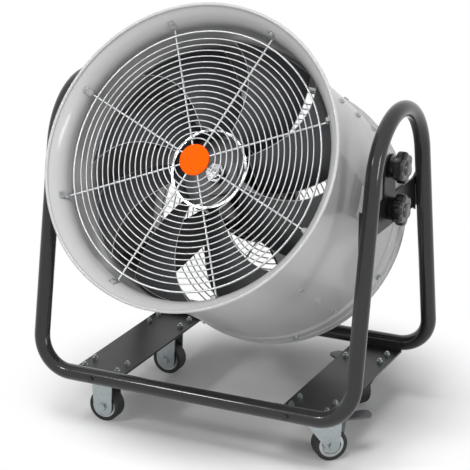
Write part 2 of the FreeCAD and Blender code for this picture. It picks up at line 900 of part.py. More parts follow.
def make_pedal(label, face, turn):
    """A foot lever on the brake pin, whose shoe presses on the tyre."""
    pedal = new_body(label)
    pin_x, pin_z = brake_pin
    boss = dim.pedal_boss
    grip = dim.wheel_diameter / 2 + dim.slide_gap
    start = dim.pedal_shoe_start
    finish = dim.pedal_shoe_end
    trail = dim.caster_trail
    shoe_start = axle_height + root(grip * grip - start * start)
    shoe_end = axle_height + root(grip * grip - finish * finish)
    tip = trail + dim.pedal_reach
    under = pin_z - dim.pedal_thickness / 2
    sketch = new_sketch(pedal, "XZ_Plane")
    outline(
        sketch,
        [
            (pin_x - boss, pin_z, boss),
            (pin_x, pin_z - boss),
            (trail + start, under - boss / 2),
            (trail + start, shoe_start, -grip),
            (trail + finish, shoe_end),
            (trail + finish + boss / 2, under),
            (tip, under),
            (tip, under + dim.pedal_thickness),
            (pin_x + boss, under + dim.pedal_thickness),
            (pin_x, pin_z + boss, boss),
        ],
    )
    circle(sketch, brake_pin, dim.brake_pin_diameter / 2 + dim.running_gap)
    width = (cheek_inner - dim.wheel_side_gap / 2) * 2
    pad(pedal, sketch, width, symmetric=True)
    corners = new_sketch(pedal, "XY_Plane", under - dim.overrun)
    radius = dim.pedal_tip_radius
    side = width / 2
    far = tip + dim.overrun
    for hand in (-1, 1):
        turn_in = [(tip - radius, side * hand), (tip, (side - radius) * hand)]
        curve = radius if hand < 0 else -radius
        points = [(*turn_in[0], curve), turn_in[1], (far, (side - radius) * hand)]
        points += [(far, (side + dim.overrun) * hand), (tip - radius, (side + dim.overrun) * hand)]
        outline(corners, points)
    pocket(pedal, corners, dim.pedal_thickness + dim.overrun * 2)
    stand(pedal, x=cross_x, y=caster_y * face, turn=turn)


def make_wheel(name, x, y, turn=None):
    """A moulded wheel core with a tyre shrunk on its rim."""
    core = new_body(f"wheel_core_{name}")
    bore = axle_hole
    hub = dim.wheel_hub_diameter / 2
    rim = dim.wheel_diameter / 2 - dim.tyre_depth
    hub_half = cheek_inner - dim.wheel_hub_end_gap
    web_half = dim.wheel_web_thickness / 2
    rim_half = dim.wheel_width / 2 - dim.tyre_bead
    half = [(bore, hub_half), (hub, hub_half), (hub, web_half)]
    half += [(rim - dim.wheel_rim_depth, web_half), (rim - dim.wheel_rim_depth, rim_half), (rim, rim_half)]
    mirrored = [(radius, -along) for radius, along in reversed(half)]
    revolve(core, outline(meridian_sketch(core), mirrored + half))
    stand(core, x, y, axle_height, turn)
    tyre = new_body(f"tyre_{name}")
    tread = dim.wheel_diameter / 2
    side = dim.wheel_width / 2
    curve = dim.tyre_shoulder
    points = [
        (rim, -rim_half),
        (rim + dim.tyre_bead, -side),
        (tread - curve, -side, curve),
        (tread, -side + curve),
        (tread, side - curve, curve),
        (tread - curve, side),
        (rim + dim.tyre_bead, side),
        (rim, rim_half),
    ]
    revolve(tyre, outline(meridian_sketch(tyre), points))
    stand(tyre, x, y, axle_height, turn)


caster_spots = []
for side in (-1, 1):
    for face in (-1, 1):
        caster_spots += bolt_spots(cross_x * side, caster_y * face)


def make_caster_bolts():
    bolts = new_body("caster_bolts")
    head = caster_plate_bottom - dim.caster_bolt_head_height
    tail = cross_top + dim.caster_nut_height + dim.caster_bolt_tail
    layers = [
        ("hexagon", dim.caster_bolt_flats, head, dim.caster_bolt_head_height),
        ("circle", dim.caster_bolt_diameter, head, tail - head),
    ]
    stack(bolts, "XY_Plane", caster_spots, layers)


def make_caster_nuts():
    nuts = new_body("caster_nuts")
    sketch = new_sketch(nuts, "XY_Plane", cross_top)
    for spot in caster_spots:
        hexagon(sketch, spot, dim.caster_bolt_flats)
        circle(sketch, spot, dim.caster_bolt_diameter / 2 + dim.running_gap)
    pad(nuts, sketch, dim.caster_nut_height)


# Drum: shell, guards and side brackets, modelled level and then tilted

shell_outer = dim.throat_radius + dim.shell_thickness
flare_rise = dim.rim_radius - dim.rim_bead_radius - dim.throat_radius
flare_radius = (dim.flare_depth * dim.flare_depth + flare_rise * flare_rise) / (flare_rise * 2)
throat_reach = dim.front_reach - dim.flare_depth
band_start = dim.rear_reach - dim.rear_band_width
band_inner = dim.throat_radius + dim.rear_band_step
band_outer = band_inner + dim.shell_thickness
arm_bolt_spots = [dim.arm_bolt_pitch * number - dim.arm_bolt_front for number in range(3)]
bracket_bolt_along = dim.bracket_leg_spread / 2 - dim.bracket_bolt_inset
bracket_bolt_spots = [
    (bracket_bolt_along * fore, dim.bracket_bolt_pitch / 2 * up) for fore in (-1, 1) for up in (-1, 1)
]
guard_hole = dim.guard_bolt_diameter / 2 + dim.hole_gap
drum_bolt_hole = dim.drum_bolt_diameter / 2 + dim.hole_gap
guard_bolt_cosine = cosine(dim.guard_bolt_flare_angle)
guard_bolt_sine = sine(dim.guard_bolt_flare_angle)
guard_bolt_radius = dim.throat_radius + flare_radius - flare_radius * guard_bolt_cosine
guard_bolt_reach = throat_reach + flare_radius * guard_bolt_sine


def flare_point(inward, forward):
    """A place beside a guard bolt: inward from the flare's inner face, then forward along the flare."""
    radius = guard_bolt_radius - guard_bolt_cosine * inward + guard_bolt_sine * forward
    along = -guard_bolt_reach - guard_bolt_sine * inward - guard_bolt_cosine * forward
    return radius, along


def make_shell():
    """The rolled drum with its bell mouth, rolled front rim, stepped rear band and beads."""
    shell = new_body("drum_shell")
    rim_radius = dim.throat_radius + flare_rise
    inner_share = (flare_radius - dim.shell_thickness) / flare_radius
    lip_radius = dim.throat_radius + flare_radius - (flare_radius - flare_rise) * inner_share
    lip_reach = throat_reach + dim.flare_depth * inner_share
    step_start = band_start - dim.rear_band_slope
    points = [
        (dim.throat_radius, -throat_reach, flare_radius),
        (rim_radius, -dim.front_reach),
        (lip_radius, -lip_reach, dim.shell_thickness - flare_radius),
        (shell_outer, -throat_reach),
        (shell_outer, step_start),
        (band_outer, band_start),
        (band_outer, dim.rear_reach),
        (band_inner, dim.rear_reach),
        (band_inner, band_start),
        (dim.throat_radius, step_start),
    ]
    revolve(shell, outline(meridian_sketch(shell), points))
    beads = meridian_sketch(shell)
    circle(beads, (rim_radius, -dim.front_reach), dim.rim_bead_radius)
    circle(beads, ((band_inner + band_outer) / 2, dim.rear_reach), dim.rear_bead_radius)
    revolve(shell, beads)
    rib = meridian_sketch(shell)
    middle = dim.rear_reach - dim.band_rib_inset
    ends = [(band_outer, middle + dim.band_rib_radius), (band_outer, middle - dim.band_rib_radius)]
    crest = (band_outer + dim.band_rib_radius, middle)
    outline(rib, [(*ends[1], dim.band_rib_radius), (*crest, dim.band_rib_radius), ends[0]])
    revolve(shell, rib)
    cut_length = shell_outer + dim.overrun * 4
    guard_holes = meridian_sketch(shell, dim.guard_turn)
    reach = dim.overrun * 2
    axis_line(guard_holes, flare_point(reach, 0), flare_point(-reach, 0))
    corners = [(reach, 0), (reach, guard_hole), (-reach, guard_hole), (-reach, 0)]
    outline(guard_holes, [flare_point(inward, as_size(forward)) for inward, forward in corners])
    around(shell, [revolve(shell, guard_holes, "Axis0", cut=True)], count.guard_spokes)
    rear_holes = radial_sketch(shell, dim.guard_turn)
    circle(rear_holes, (dim.rear_screw_reach, 0), guard_hole)
    around(shell, [pocket(shell, rear_holes, cut_length)], count.guard_spokes)
    arm_holes = radial_sketch(shell, dim.arm_turn)
    for along in arm_bolt_spots:
        circle(arm_holes, (along, 0), drum_bolt_hole)
    around(shell, [pocket(shell, arm_holes, cut_length)], count.arm_count)
    side_holes = new_sketch(shell, "YZ_Plane")
    for spot in bracket_bolt_spots:
        circle(side_holes, spot, drum_bolt_hole)
    pocket(shell, side_holes, cut_length * 2, symmetric=True)
    gland_hole = radial_sketch(shell, dim.gland_turn)
    circle(gland_hole, (dim.gland_reach, 0), dim.gland_thread_diameter / 2 + dim.hole_gap)
    pocket(shell, gland_hole, cut_length)
    hang(shell)


def solid_ring(name, radius, wire, along):
    ring = doc.addObject("Part::Torus", name)
    bind(ring, "Radius1", radius)
    bind(ring, "Radius2", wire)
    ring.Placement = Placement(Vector(0, along.value, 0), Rotation(Vector(1, 0, 0), -90))
    bind(ring, "Placement.Base.y", along)
    return ring


def rod(name, wire, start, finish, angle):
    """A round rod between two places given by radius and place along the drum's axis."""
    item = doc.addObject("Part::Cylinder", name)
    out = finish[0] - start[0]
    along = finish[1] - start[1]
    bind(item, "Radius", wire)
    bind(item, "Height", root(out * out + along * along))
    roll = Rotation(Vector(0, 1, 0), -angle)
    heading = roll.multVec(Vector(out.value, along.value, 0))
    base = roll.multVec(Vector(start[0].value, start[1].value, 0))
    item.Placement = Placement(base, Rotation(Vector(0, 0, 1), heading))
    return item


def guard_tab(name, corner, slope, length, angle):
    """A flattened spoke end: length along the drum's wall, thickness towards the axis."""
    tab = doc.addObject("Part::Box", name)
    bind(tab, "Length", dim.guard_tab_thickness)
    bind(tab, "Width", length)
    bind(tab, "Height", dim.guard_tab_width)
    roll = Rotation(Vector(0, 1, 0), -angle)
    lean_back = Rotation(Vector(0, 0, 1), slope)
    start = Vector(corner[0].value, corner[1].value, -dim.guard_tab_width.value / 2)
    tab.Placement = Placement(roll.multVec(start), roll.multiply(lean_back))
    return tab


def centre_disc(name, radius, along):
    disc = doc.addObject("Part::Cylinder", name)
    bind(disc, "Radius", radius)
    bind(disc, "Height", dim.guard_centre_thickness)
    disc.Placement = Placement(Vector(0, along.value, 0), Rotation(Vector(1, 0, 0), -90))
    bind(disc, "Placement.Base.y", along)
    return disc


spoke_offset = dim.ring_wire_radius + dim.spoke_wire_radius - dim.weld_sink
front_spokes = spoke_offset - dim.front_guard_reach
rear_spokes = dim.rear_guard_reach - spoke_offset


def make_guard(label, along, spokes, outer_radius, spoke_end, tabs, drill):
    """Concentric wire rings welded to spokes, with a disc in the middle and a drilled tab on each spoke."""
    pieces = [solid_ring(f"{label}_rim", outer_radius, dim.spoke_wire_radius, along)]
    holes = []
    pitch = (dim.guard_second_radius - dim.guard_inner_radius) / (count.guard_rings - 1)
    for number in range(count.guard_rings):
        radius = dim.guard_inner_radius + pitch * number
        pieces.append(solid_ring(f"{label}_ring", radius, dim.ring_wire_radius, along))
    spoke_start = (dim.guard_centre_radius - dim.overrun, spokes)
    for number in range(count.guard_spokes):
        angle = dim.guard_turn.value + 360 * number / count.guard_spokes
        pieces.append(rod(f"{label}_spoke", dim.spoke_wire_radius, spoke_start, (spoke_end, spokes), angle))
        pieces.append(tabs(f"{label}_tab", angle))
        holes.append(rod(f"{label}_hole", guard_hole, *drill, angle))
    disc_start = spokes - dim.guard_centre_thickness / 2
    pieces.append(centre_disc(f"{label}_disc", dim.guard_centre_radius, disc_start))
    wires = doc.addObject("Part::MultiFuse", f"{label}_wires")
    wires.Shapes = pieces
    drilling = doc.addObject("Part::Compound", f"{label}_holes")
    drilling.Links = holes
    guard = doc.addObject("Part::Cut", label)
    guard.Label = label
    guard.Base = wires
    guard.Tool = drilling
    nodes.append(guard)
    hang(guard)


def front_tab(name, angle):
    start = flare_point(dim.weld_gap, -dim.guard_tab_length * dim.tab_back_share)
    slope = 180 + dim.guard_bolt_flare_angle.value
    return guard_tab(name, start, slope, dim.guard_tab_length, angle)


def rear_tab(name, angle):
    inner_face = band_inner - dim.weld_gap - dim.guard_tab_thickness
    corner = (inner_face, dim.rear_guard_reach - dim.guard_tab_length)
    return guard_tab(name, corner, 0, dim.guard_tab_length + dim.spoke_wire_radius, angle)


def make_badge():
    """A plain round badge clipped over the middle of the front guard."""
    badge = new_body("badge")
    back = front_spokes - dim.guard_centre_thickness / 2 - dim.weld_gap
    edge = back - dim.badge_thickness + dim.badge_crown
    crown = (dim.badge_radius * dim.badge_radius + dim.badge_crown * dim.badge_crown) / (dim.badge_crown * 2)
    middle = (0, back - dim.badge_thickness, crown)
    points = [(0, back), middle, (dim.badge_radius, edge), (dim.badge_radius, back)]
    revolve(badge, outline(meridian_sketch(badge), points))
    hang(badge)


def make_guard_bolts():
    """Round-headed bolts through the spoke tabs and the flare, with their nuts outside."""
    bolts = new_body("front_guard_bolts")
    sketch = meridian_sketch(bolts, dim.guard_turn)
    shank = dim.guard_bolt_diameter / 2
    head = dim.guard_bolt_head_diameter / 2
    seat = dim.guard_tab_thickness + dim.weld_gap * 2
    crown = seat + dim.guard_bolt_head_height
    back = -dim.shell_thickness - dim.weld_gap * 4
    tail = back - dim.guard_bolt_nut_height
    axis_line(sketch, flare_point(crown, 0), flare_point(tail, 0))
    steps = [(crown, 0), (crown, head), (seat, head), (seat, shank)]
    steps += [(back, shank), (back, head), (tail, head), (tail, 0)]
    outline(sketch, [flare_point(inward, as_size(forward)) for inward, forward in steps])
    around(bolts, [revolve(bolts, sketch, "Axis0")], count.guard_spokes)
    hang(bolts)


def make_rear_screws():
    """Screws from outside through the rear band into the rear guard's tabs."""
    screws = new_body("rear_guard_screws")
    tab = band_inner - dim.weld_gap * 2 - dim.guard_tab_thickness
    nut = tab - dim.guard_bolt_nut_height
    layers = [
        ("circle", dim.guard_bolt_diameter, nut, band_outer - nut + dim.weld_gap),
        ("circle", dim.guard_bolt_head_diameter, band_outer + dim.weld_gap, dim.guard_bolt_head_height),
        ("circle", dim.guard_bolt_head_diameter, nut, dim.guard_bolt_nut_height),
    ]
    around(screws, stack(screws, "YZ_Plane", [(dim.rear_screw_reach, 0)], layers), count.guard_spokes)
    hang(screws, dim.guard_turn)


slot_half = dim.stud_diameter / 2 + dim.slide_gap


def sector_point(radius, angle):
    """A place on a side bracket: angle from straight up over the drum, positive towards its back."""
    return radius * sine(angle), radius * cosine(angle)


def make_bracket(label, side):
    """A slotted sector plate on two legs with feet bolted to the drum's side."""
    bracket = new_body(label)
    back = dim.tilt_down_limit
    front = -dim.tilt_up_limit
    margin = dim.bracket_sector_margin
    leg = dim.bracket_leg_spread / 2
    low = -dim.bracket_leg_height / 2
    radius = dim.bracket_sector_radius
    sector = new_sketch(bracket, "YZ_Plane", sector_inner if side > 0 else -sector_outer)
    middle = (back + front) / 2
    points = [
        (leg, low),
        (*sector_point(radius, back + margin), radius),
        (*sector_point(radius, middle), radius),
        sector_point(radius, front - margin),
        (-leg, low),
    ]
    outline(sector, points)
    circle(sector, (0, 0), stud_hole)
    inside = dim.clamp_radius - slot_half
    outside = dim.clamp_radius + slot_half
    slot = [
        (*sector_point(outside, back), outside),
        (*sector_point(outside, middle), outside),
        (*sector_point(outside, front), slot_half),
        (*slot_end(front, -1), slot_half),
        (*sector_point(inside, front), -inside),
        (*sector_point(inside, middle), -inside),
        (*sector_point(inside, back), slot_half),
        (*slot_end(back, 1), slot_half),
    ]
    outline(sector, slot)
    pad(bracket, sector, dim.bracket_thickness)
    foot_inner = shell_outer + dim.weld_gap
    foot_outer = foot_inner + dim.bracket_thickness
    leg_start = foot_inner + dim.slide_gap * 2
    leg_length = sector_inner - leg_start
    for fore in (-1, 1):
        wall = new_sketch(bracket, "YZ_Plane", leg_start if side > 0 else -leg_start - leg_length)
        edges = sorted((leg * fore, (leg - dim.bracket_thickness) * fore), key=lambda place: place.value)
        rectangle(wall, (edges[0], low), (edges[1], -low))
        pad(bracket, wall, leg_length)
        foot = meridian_sketch(bracket)
        ends = sorted((leg * fore, (leg - dim.bracket_foot_length) * fore), key=lambda place: place.value)
        radii = (foot_inner, foot_outer) if side > 0 else (-foot_outer, -foot_inner)
        rectangle(foot, (radii[0], ends[0]), (radii[1], ends[1]))
        revolve(bracket, foot, turn=dim.bracket_foot_turn)
    drill_start = foot_inner if side > 0 else -foot_outer
    holes = new_sketch(bracket, "YZ_Plane", drill_start - dim.overrun * 2)
    for spot in bracket_bolt_spots:
        circle(holes, spot, drum_bolt_hole)
    pocket(bracket, holes, dim.bracket_thickness + dim.overrun * 4)
    hang(bracket)


def slot_end(angle, sense):
    """The outermost place of a slot's round end."""
    across, up = sector_point(dim.clamp_radius, angle)
    return across + slot_half * cosine(angle) * sense, up - slot_half * sine(angle) * sense


def make_drum_bolts():
    """The drum's hexagon bolts: four on each side bracket and a row of three on each motor arm."""
    bolts = new_body("drum_bolts")
    reach = dim.bracket_bolt_pitch / 2
    foot_outer = shell_outer + dim.weld_gap + dim.bracket_thickness
    near = reach - dim.drum_bolt_flats / 2
    far = reach + dim.drum_bolt_flats / 2
    head = root(foot_outer * foot_outer - near * near)
    nut_top = root(dim.throat_radius * dim.throat_radius - far * far) - dim.weld_gap
    nut = nut_top - dim.drum_bolt_nut_height
    right = [
        ("circle", dim.drum_bolt_diameter, nut, head - nut),
        ("hexagon", dim.drum_bolt_flats, head, dim.drum_bolt_head_height),
        ("hexagon", dim.drum_bolt_flats, nut, dim.drum_bolt_nut_height),
    ]
    stack(bolts, "YZ_Plane", bracket_bolt_spots, right)
    left = [(shape, width, -start - height, height) for shape, width, start, height in right]
    stack(bolts, "YZ_Plane", bracket_bolt_spots, left)
    arm_head = shell_outer + dim.weld_gap
    arm_nut = dim.throat_radius - dim.weld_gap * 2 - dim.arm_foot_thickness - dim.drum_bolt_nut_height
    arm = [
        ("circle", dim.drum_bolt_diameter, arm_nut, arm_head - arm_nut),
        ("hexagon", dim.drum_bolt_flats, arm_head, dim.drum_bolt_head_height),
        ("hexagon", dim.drum_bolt_flats, arm_nut, dim.drum_bolt_nut_height),
    ]
    spots = [(along, 0) for along in arm_bolt_spots]
    around(bolts, stack(bolts, "YZ_Plane", spots, arm, dim.arm_turn), count.arm_count)
    hang(bolts)


# Impeller: hub, blades, clamp disc, shaft, nut and rotor

shaft_radius = dim.shaft_diameter / 2
web_back = -dim.hub_web_front + dim.hub_web_thickness
disc_front = -dim.hub_web_front - dim.clamp_disc_thickness
motor_back = dim.motor_length - dim.motor_front


def make_hub():
    """A cup open to the front, with a web and a boss on the shaft."""
    hub = new_body("impeller_hub")
    inner = dim.hub_radius - dim.hub_wall
    rear = -dim.hub_front + dim.hub_depth
    boss_back = -dim.hub_web_front + dim.hub_boss_depth
    bore = shaft_radius + dim.running_gap
    points = [
        (bore, -dim.hub_web_front),
        (inner, -dim.hub_web_front),
        (inner, -dim.hub_front),
        (dim.hub_radius, -dim.hub_front),
        (dim.hub_radius, rear),
        (inner, rear),
        (inner, web_back),
        (dim.hub_boss_radius, web_back),
        (dim.hub_boss_radius, boss_back),
        (bore, boss_back),
    ]
    revolve(hub, outline(meridian_sketch(hub), points))
    hang(hub)


def between(first, last, share):
    return first.value + (last.value - first.value) * share


def blade_place(out_share, chord_share, lift):
    """A point of a blade: its share of the way from root to tip and from leading to trailing edge."""
    radius = between(dim.hub_radius + dim.weld_gap, dim.blade_tip_radius, out_share)
    even = dim.even_sweep_share.value
    sweep = out_share * even + out_share**3 * (1 - even)
    lead = between(dim.root_lead_angle, dim.tip_lead_angle, sweep)
    trail = between(-dim.root_trail_angle, dim.tip_trail_angle, out_share)
    lead_reach = between(dim.root_lead_reach, dim.tip_lead_reach, out_share)
    trail_reach = between(dim.root_trail_reach, dim.tip_trail_reach, out_share)
    angle = math.radians(lead + (trail - lead) * chord_share)
    bow = dim.blade_camber.value * 4 * chord_share * (1 - chord_share)
    along = -lead_reach + (lead_reach - trail_reach) * chord_share - bow + lift
    return Vector(-radius * math.sin(angle), along, radius * math.cos(angle))


def blade_solid():
    """A thin bowed blade between two smooth faces, thickest in the middle of its width."""
    thick = dim.blade_thickness.value
    edge = dim.blade_edge_thickness.value
    stations = [number / 5 for number in range(6)]
    faces = []
    for side in (-1, 1):
        grid = []
        for out_share in stations:
            line = []
            for chord_share in stations:
                lift = edge + (thick - edge) * 4 * chord_share * (1 - chord_share)
                line.append(blade_place(out_share, chord_share, side * lift / 2))
            grid.append(line)
        surface = Part.BSplineSurface()
        surface.interpolate(grid)
        faces.append(surface)
    bounds = [surface.bounds() for surface in faces]
    rims = []
    for surface, (low_u, high_u, low_v, high_v) in zip(faces, bounds):
        rims.append([surface.uIso(low_u), surface.vIso(high_v), surface.uIso(high_u), surface.vIso(low_v)])
    sides = [Part.makeRuledSurface(front.toShape(), back.toShape()) for front, back in zip(*rims)]
    shell = Part.makeShell([surface.toShape() for surface in faces] + sides)
    shell.sewShape()
    solid = Part.makeSolid(shell)
    if solid.Volume < 0:
        solid.reverse()
    return solid


def make_blades():
    blades = doc.addObject("Part::Feature", "impeller_blades")
    first = blade_solid()
    copies = []
    for number in range(count.blade_count):
        angle = dim.blade_turn.value + 360 * number / count.blade_count
        copies.append(first.copy().rotate(Vector(), Vector(0, 1, 0), -angle))
    blades.Shape = Part.makeCompound(copies)
    nodes.append(blades)
    hang(blades)


def make_clamp_disc():
    disc = new_body("clamp_disc")
    bore = shaft_radius + dim.running_gap
    far_corner = (dim.clamp_disc_radius, -dim.hub_web_front)
    revolve(disc, rectangle(meridian_sketch(disc), (bore, disc_front), far_corner))
    hang(disc)


def make_shaft_nut():
    nut = new_body("shaft_nut")
    sketch = new_sketch(nut, "XZ_Plane", -disc_front)
    hexagon(sketch, (0, 0), dim.shaft_nut_flats)
    circle(sketch, (0, 0), shaft_radius + dim.running_gap)
    pad(nut, sketch, dim.shaft_nut_height)
    hang(nut)


def make_shaft():
    shaft = new_body("motor_shaft")
    front = disc_front - dim.shaft_nut_height - dim.shaft_tail
    back = motor_back
    revolve(shaft, rectangle(meridian_sketch(shaft), (0, front), (shaft_radius, back)))
    hang(shaft)


stator_front = (motor_back - dim.motor_front - dim.stator_length) / 2
stator_back = stator_front + dim.stator_length


def make_rotor():
    rotor = new_body("rotor")
    radius = dim.stator_bore / 2 - dim.air_gap
    bore = shaft_radius + dim.running_gap
    revolve(rotor, rectangle(meridian_sketch(rotor), (bore, stator_front), (radius, stator_back)))
    hang(rotor)


# Motor: housing, caps, stator, bearings, mount, terminal box and gland


def make_motor_housing():
    housing = new_body("motor_housing")
    inner = dim.motor_radius - dim.motor_wall
    front = -dim.motor_front
    revolve(housing, rectangle(meridian_sketch(housing), (inner, front), (dim.motor_radius, motor_back)))
    fin = meridian_sketch(housing)
    fin_root = dim.motor_radius - dim.motor_wall / 2
    rectangle(fin, (fin_root, front), (dim.motor_radius + dim.fin_height, motor_back))
    around(housing, [pad(housing, fin, dim.fin_thickness, symmetric=True)], count.fin_count)
    hang(housing)


def make_stator():
    stator = new_body("stator")
    outer = dim.motor_radius - dim.motor_wall
    near_corner = (dim.stator_bore / 2, stator_front)
    revolve(stator, rectangle(meridian_sketch(stator), near_corner, (outer, stator_back)))
    hang(stator)


def make_motor_cap(label, face):
    """An end shield with a bearing seat: a flat disc, a nose and a spigot in the housing."""
    cap = new_body(label)
    seat = dim.motor_front if face < 0 else motor_back
    outside = (seat + dim.cap_thickness) * face
    nose = (seat + dim.cap_thickness * 2) * face
    inside = (seat - dim.bearing_width) * face
    bore = shaft_radius + dim.shaft_clearance
    spigot = dim.cap_nose_radius
    points = [
        (dim.bearing_radius, inside),
        (spigot, inside),
        (spigot, seat * face),
        (dim.motor_radius + dim.fin_height / 2, seat * face),
        (dim.motor_radius + dim.fin_height / 2, outside),
        (spigot, outside),
    ]
    if face < 0:
        points += [(bore, outside), (bore, seat * face), (dim.bearing_radius, seat * face)]
    else:
        recess = seat + dim.slide_gap
        points += [(0, outside), (0, recess), (dim.bearing_radius, recess)]
    revolve(cap, outline(meridian_sketch(cap), points))
    hang(cap)


def make_bearings():
    bearings = new_body("motor_bearings")
    sketch = meridian_sketch(bearings)
    bore = shaft_radius + dim.running_gap
    radius = dim.bearing_radius - dim.running_gap
    front = -dim.motor_front
    rectangle(sketch, (bore, front), (radius, front + dim.bearing_width))
    rectangle(sketch, (bore, motor_back - dim.bearing_width), (radius, motor_back))
    revolve(bearings, sketch)
    hang(bearings)


def make_motor_mount():
    """Two bands round the motor on four arms, each with a foot along the drum's wall."""
    mount = new_body("motor_mount")
    inner = dim.motor_radius + dim.fin_height + dim.weld_gap
    outer = inner + dim.mount_band_thickness
    bands = meridian_sketch(mount)
    for number in range(2):
        start = dim.mount_band_spacing * number
        rectangle(bands, (inner, start), (outer, start + dim.mount_band_width))
    revolve(mount, bands)
    foot_outer = dim.throat_radius - dim.weld_gap
    foot_inner = foot_outer - dim.arm_foot_thickness
    arm_start = inner + dim.mount_band_thickness / 2
    arm_end = foot_inner + dim.arm_foot_thickness / 2
    arm = meridian_sketch(mount, dim.arm_turn - dim.arm_web_turn)
    points = [
        (arm_start, 0),
        (arm_end, -dim.arm_front),
        (arm_end, dim.arm_rear),
        (arm_start, dim.mount_band_spacing + dim.mount_band_width),
    ]
    outline(arm, points)
    plate = pad(mount, arm, dim.arm_thickness, symmetric=True)
    foot = meridian_sketch(mount, dim.arm_turn)
    rectangle(foot, (foot_inner, -dim.arm_front), (foot_outer, dim.arm_rear))
    sole = revolve(mount, foot, turn=dim.arm_foot_turn)
    holes = radial_sketch(mount, dim.arm_turn, foot_inner - dim.overrun)
    for along in arm_bolt_spots:
        circle(holes, (along, 0), drum_bolt_hole)
    drilling = pocket(mount, holes, dim.overrun * 3)
    around(mount, [plate, sole, drilling], count.arm_count)
    hang(mount)


def make_terminal_box():
    """A box with a lid on the top of the motor, between the mount's bands."""
    box = new_body("terminal_box")
    half = dim.terminal_box_width / 2
    front = dim.terminal_box_reach
    back = front + dim.terminal_box_length
    seat = dim.motor_radius + dim.fin_height + dim.weld_gap
    lid = seat + dim.terminal_box_height - dim.terminal_lid_height
    lip = dim.terminal_lid_lip
    case = new_sketch(box, "XY_Plane", seat)
    rectangle(case, (-half, front), (half, back))
    pad(box, case, dim.terminal_box_height - dim.terminal_lid_height)
    cover = new_sketch(box, "XY_Plane", lid)
    rectangle(cover, (-half - lip, front - lip), (half + lip, back + lip))
    pad(box, cover, dim.terminal_lid_height)
    hang(box)


def make_cable_gland():
    """A screwed gland through the drum's wall, with a lock nut inside and a bore for a cord."""
    gland = new_body("cable_gland")
    seat = shell_outer + dim.weld_gap * 2
    lock_far = dim.throat_radius - dim.weld_gap * 2
    lock = lock_far - dim.gland_lock_height
    thread = lock - dim.gland_lock_height
    top = seat + dim.gland_hex_height + dim.gland_cap_height
    layers = [
        ("circle", dim.gland_thread_diameter, thread, seat - thread),
        ("hexagon", dim.gland_flats, seat, dim.gland_hex_height),
        ("circle", dim.gland_cap_diameter, seat + dim.gland_hex_height, dim.gland_cap_height),
        ("hexagon", dim.gland_flats, lock, dim.gland_lock_height),
    ]
    stack(gland, "YZ_Plane", [(dim.gland_reach, 0)], layers)
    bore = new_sketch(gland, "YZ_Plane", lock - dim.overrun * 2)
    circle(bore, (dim.gland_reach, 0), dim.gland_bore / 2)
    pocket(gland, bore, top - lock + dim.overrun * 4)
    hang(gland, dim.gland_turn)


# Assembly

for name, side in (("left", -1), ("right", 1)):
    make_hoop(f"{name}_hoop", side)
    make_cross_plate(f"{name}_cross_plate", side)
    make_pivot_plate(f"{name}_pivot_plate", side)
    make_knob(f"{name}_pivot_knob", side, dim.pivot_height)
    make_knob(f"{name}_clamp_knob", side, clamp_height)
    make_bracket(f"{name}_drum_bracket", side)
for name, face in (("front", -1), ("rear", 1)):
    make_rail(f"{name}_rail", face)
    make_rigid_fork(f"rigid_fork_{name}", face)
    make_swivel_plate(f"swivel_plate_{name}", face)
make_rail_screws()
make_knob_studs()
make_rigid_axles()
make_caster_bolts()
make_caster_nuts()
for name, face, turn in (("front", -1, dim.front_caster_turn), ("rear", 1, dim.rear_caster_turn)):
    make_swivel_fork(f"swivel_fork_{name}", face, turn)
    make_swivel_axle(f"swivel_axle_{name}", face, turn)
    make_brake_pin(f"brake_pin_{name}", face, turn)
    make_pedal(f"brake_pedal_{name}", face, turn)
    make_wheel(f"left_{name}", -cross_x, caster_y * face)
    trail_x = cross_x + dim.caster_trail * cosine(turn)
    trail_y = caster_y * face + dim.caster_trail * sine(turn)
    make_wheel(f"right_{name}", trail_x, trail_y, turn)
make_shell()
front_end = guard_bolt_radius - dim.guard_tab_thickness * 2
front_drill = (flare_point(dim.overrun * 2, as_size(0)), flare_point(-dim.weld_gap / 2, as_size(0)))
front_sizes = (-dim.front_guard_reach, front_spokes, dim.guard_outer_radius, front_end)
make_guard("front_guard", *front_sizes, front_tab, front_drill)
rear_end = band_inner - dim.guard_tab_thickness / 2
rear_drill = ((rear_end - dim.overrun * 2, dim.rear_screw_reach), (band_outer, dim.rear_screw_reach))
rear_sizes = (dim.rear_guard_reach, rear_spokes, dim.rear_guard_outer_radius, rear_end)
make_guard("rear_guard", *rear_sizes, rear_tab, rear_drill)
make_badge()
make_guard_bolts()
make_rear_screws()
make_drum_bolts()
make_hub()
make_blades()
make_clamp_disc()
make_shaft_nut()
make_shaft()
make_rotor()
make_motor_housing()
make_stator()
make_motor_cap("motor_front_cap", -1)
make_motor_cap("motor_rear_cap", 1)
make_bearings()
make_motor_mount()
make_terminal_box()
make_cable_gland()

doc.recompute()
for item in doc.Objects:
    if "Invalid" in item.State or "Error" in item.State:
        raise RuntimeError(f"{item.Label} failed: {item.State}")
os.makedirs("parts", exist_ok=True)
for node in nodes:
    if node.Shape.isNull() or not node.Shape.isValid() or not node.Shape.Solids:
        raise RuntimeError(f"{node.Label} has no valid solid")
for node in nodes:
    node.Shape.exportStep(f"parts/{node.Label}.step")
    print(node.Label, len(node.Shape.Solids), round(node.Shape.Volume))
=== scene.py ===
"""Dresses a portable drum fan on a tube frame: finishes, small shop details and a plain studio."""

import json
import math

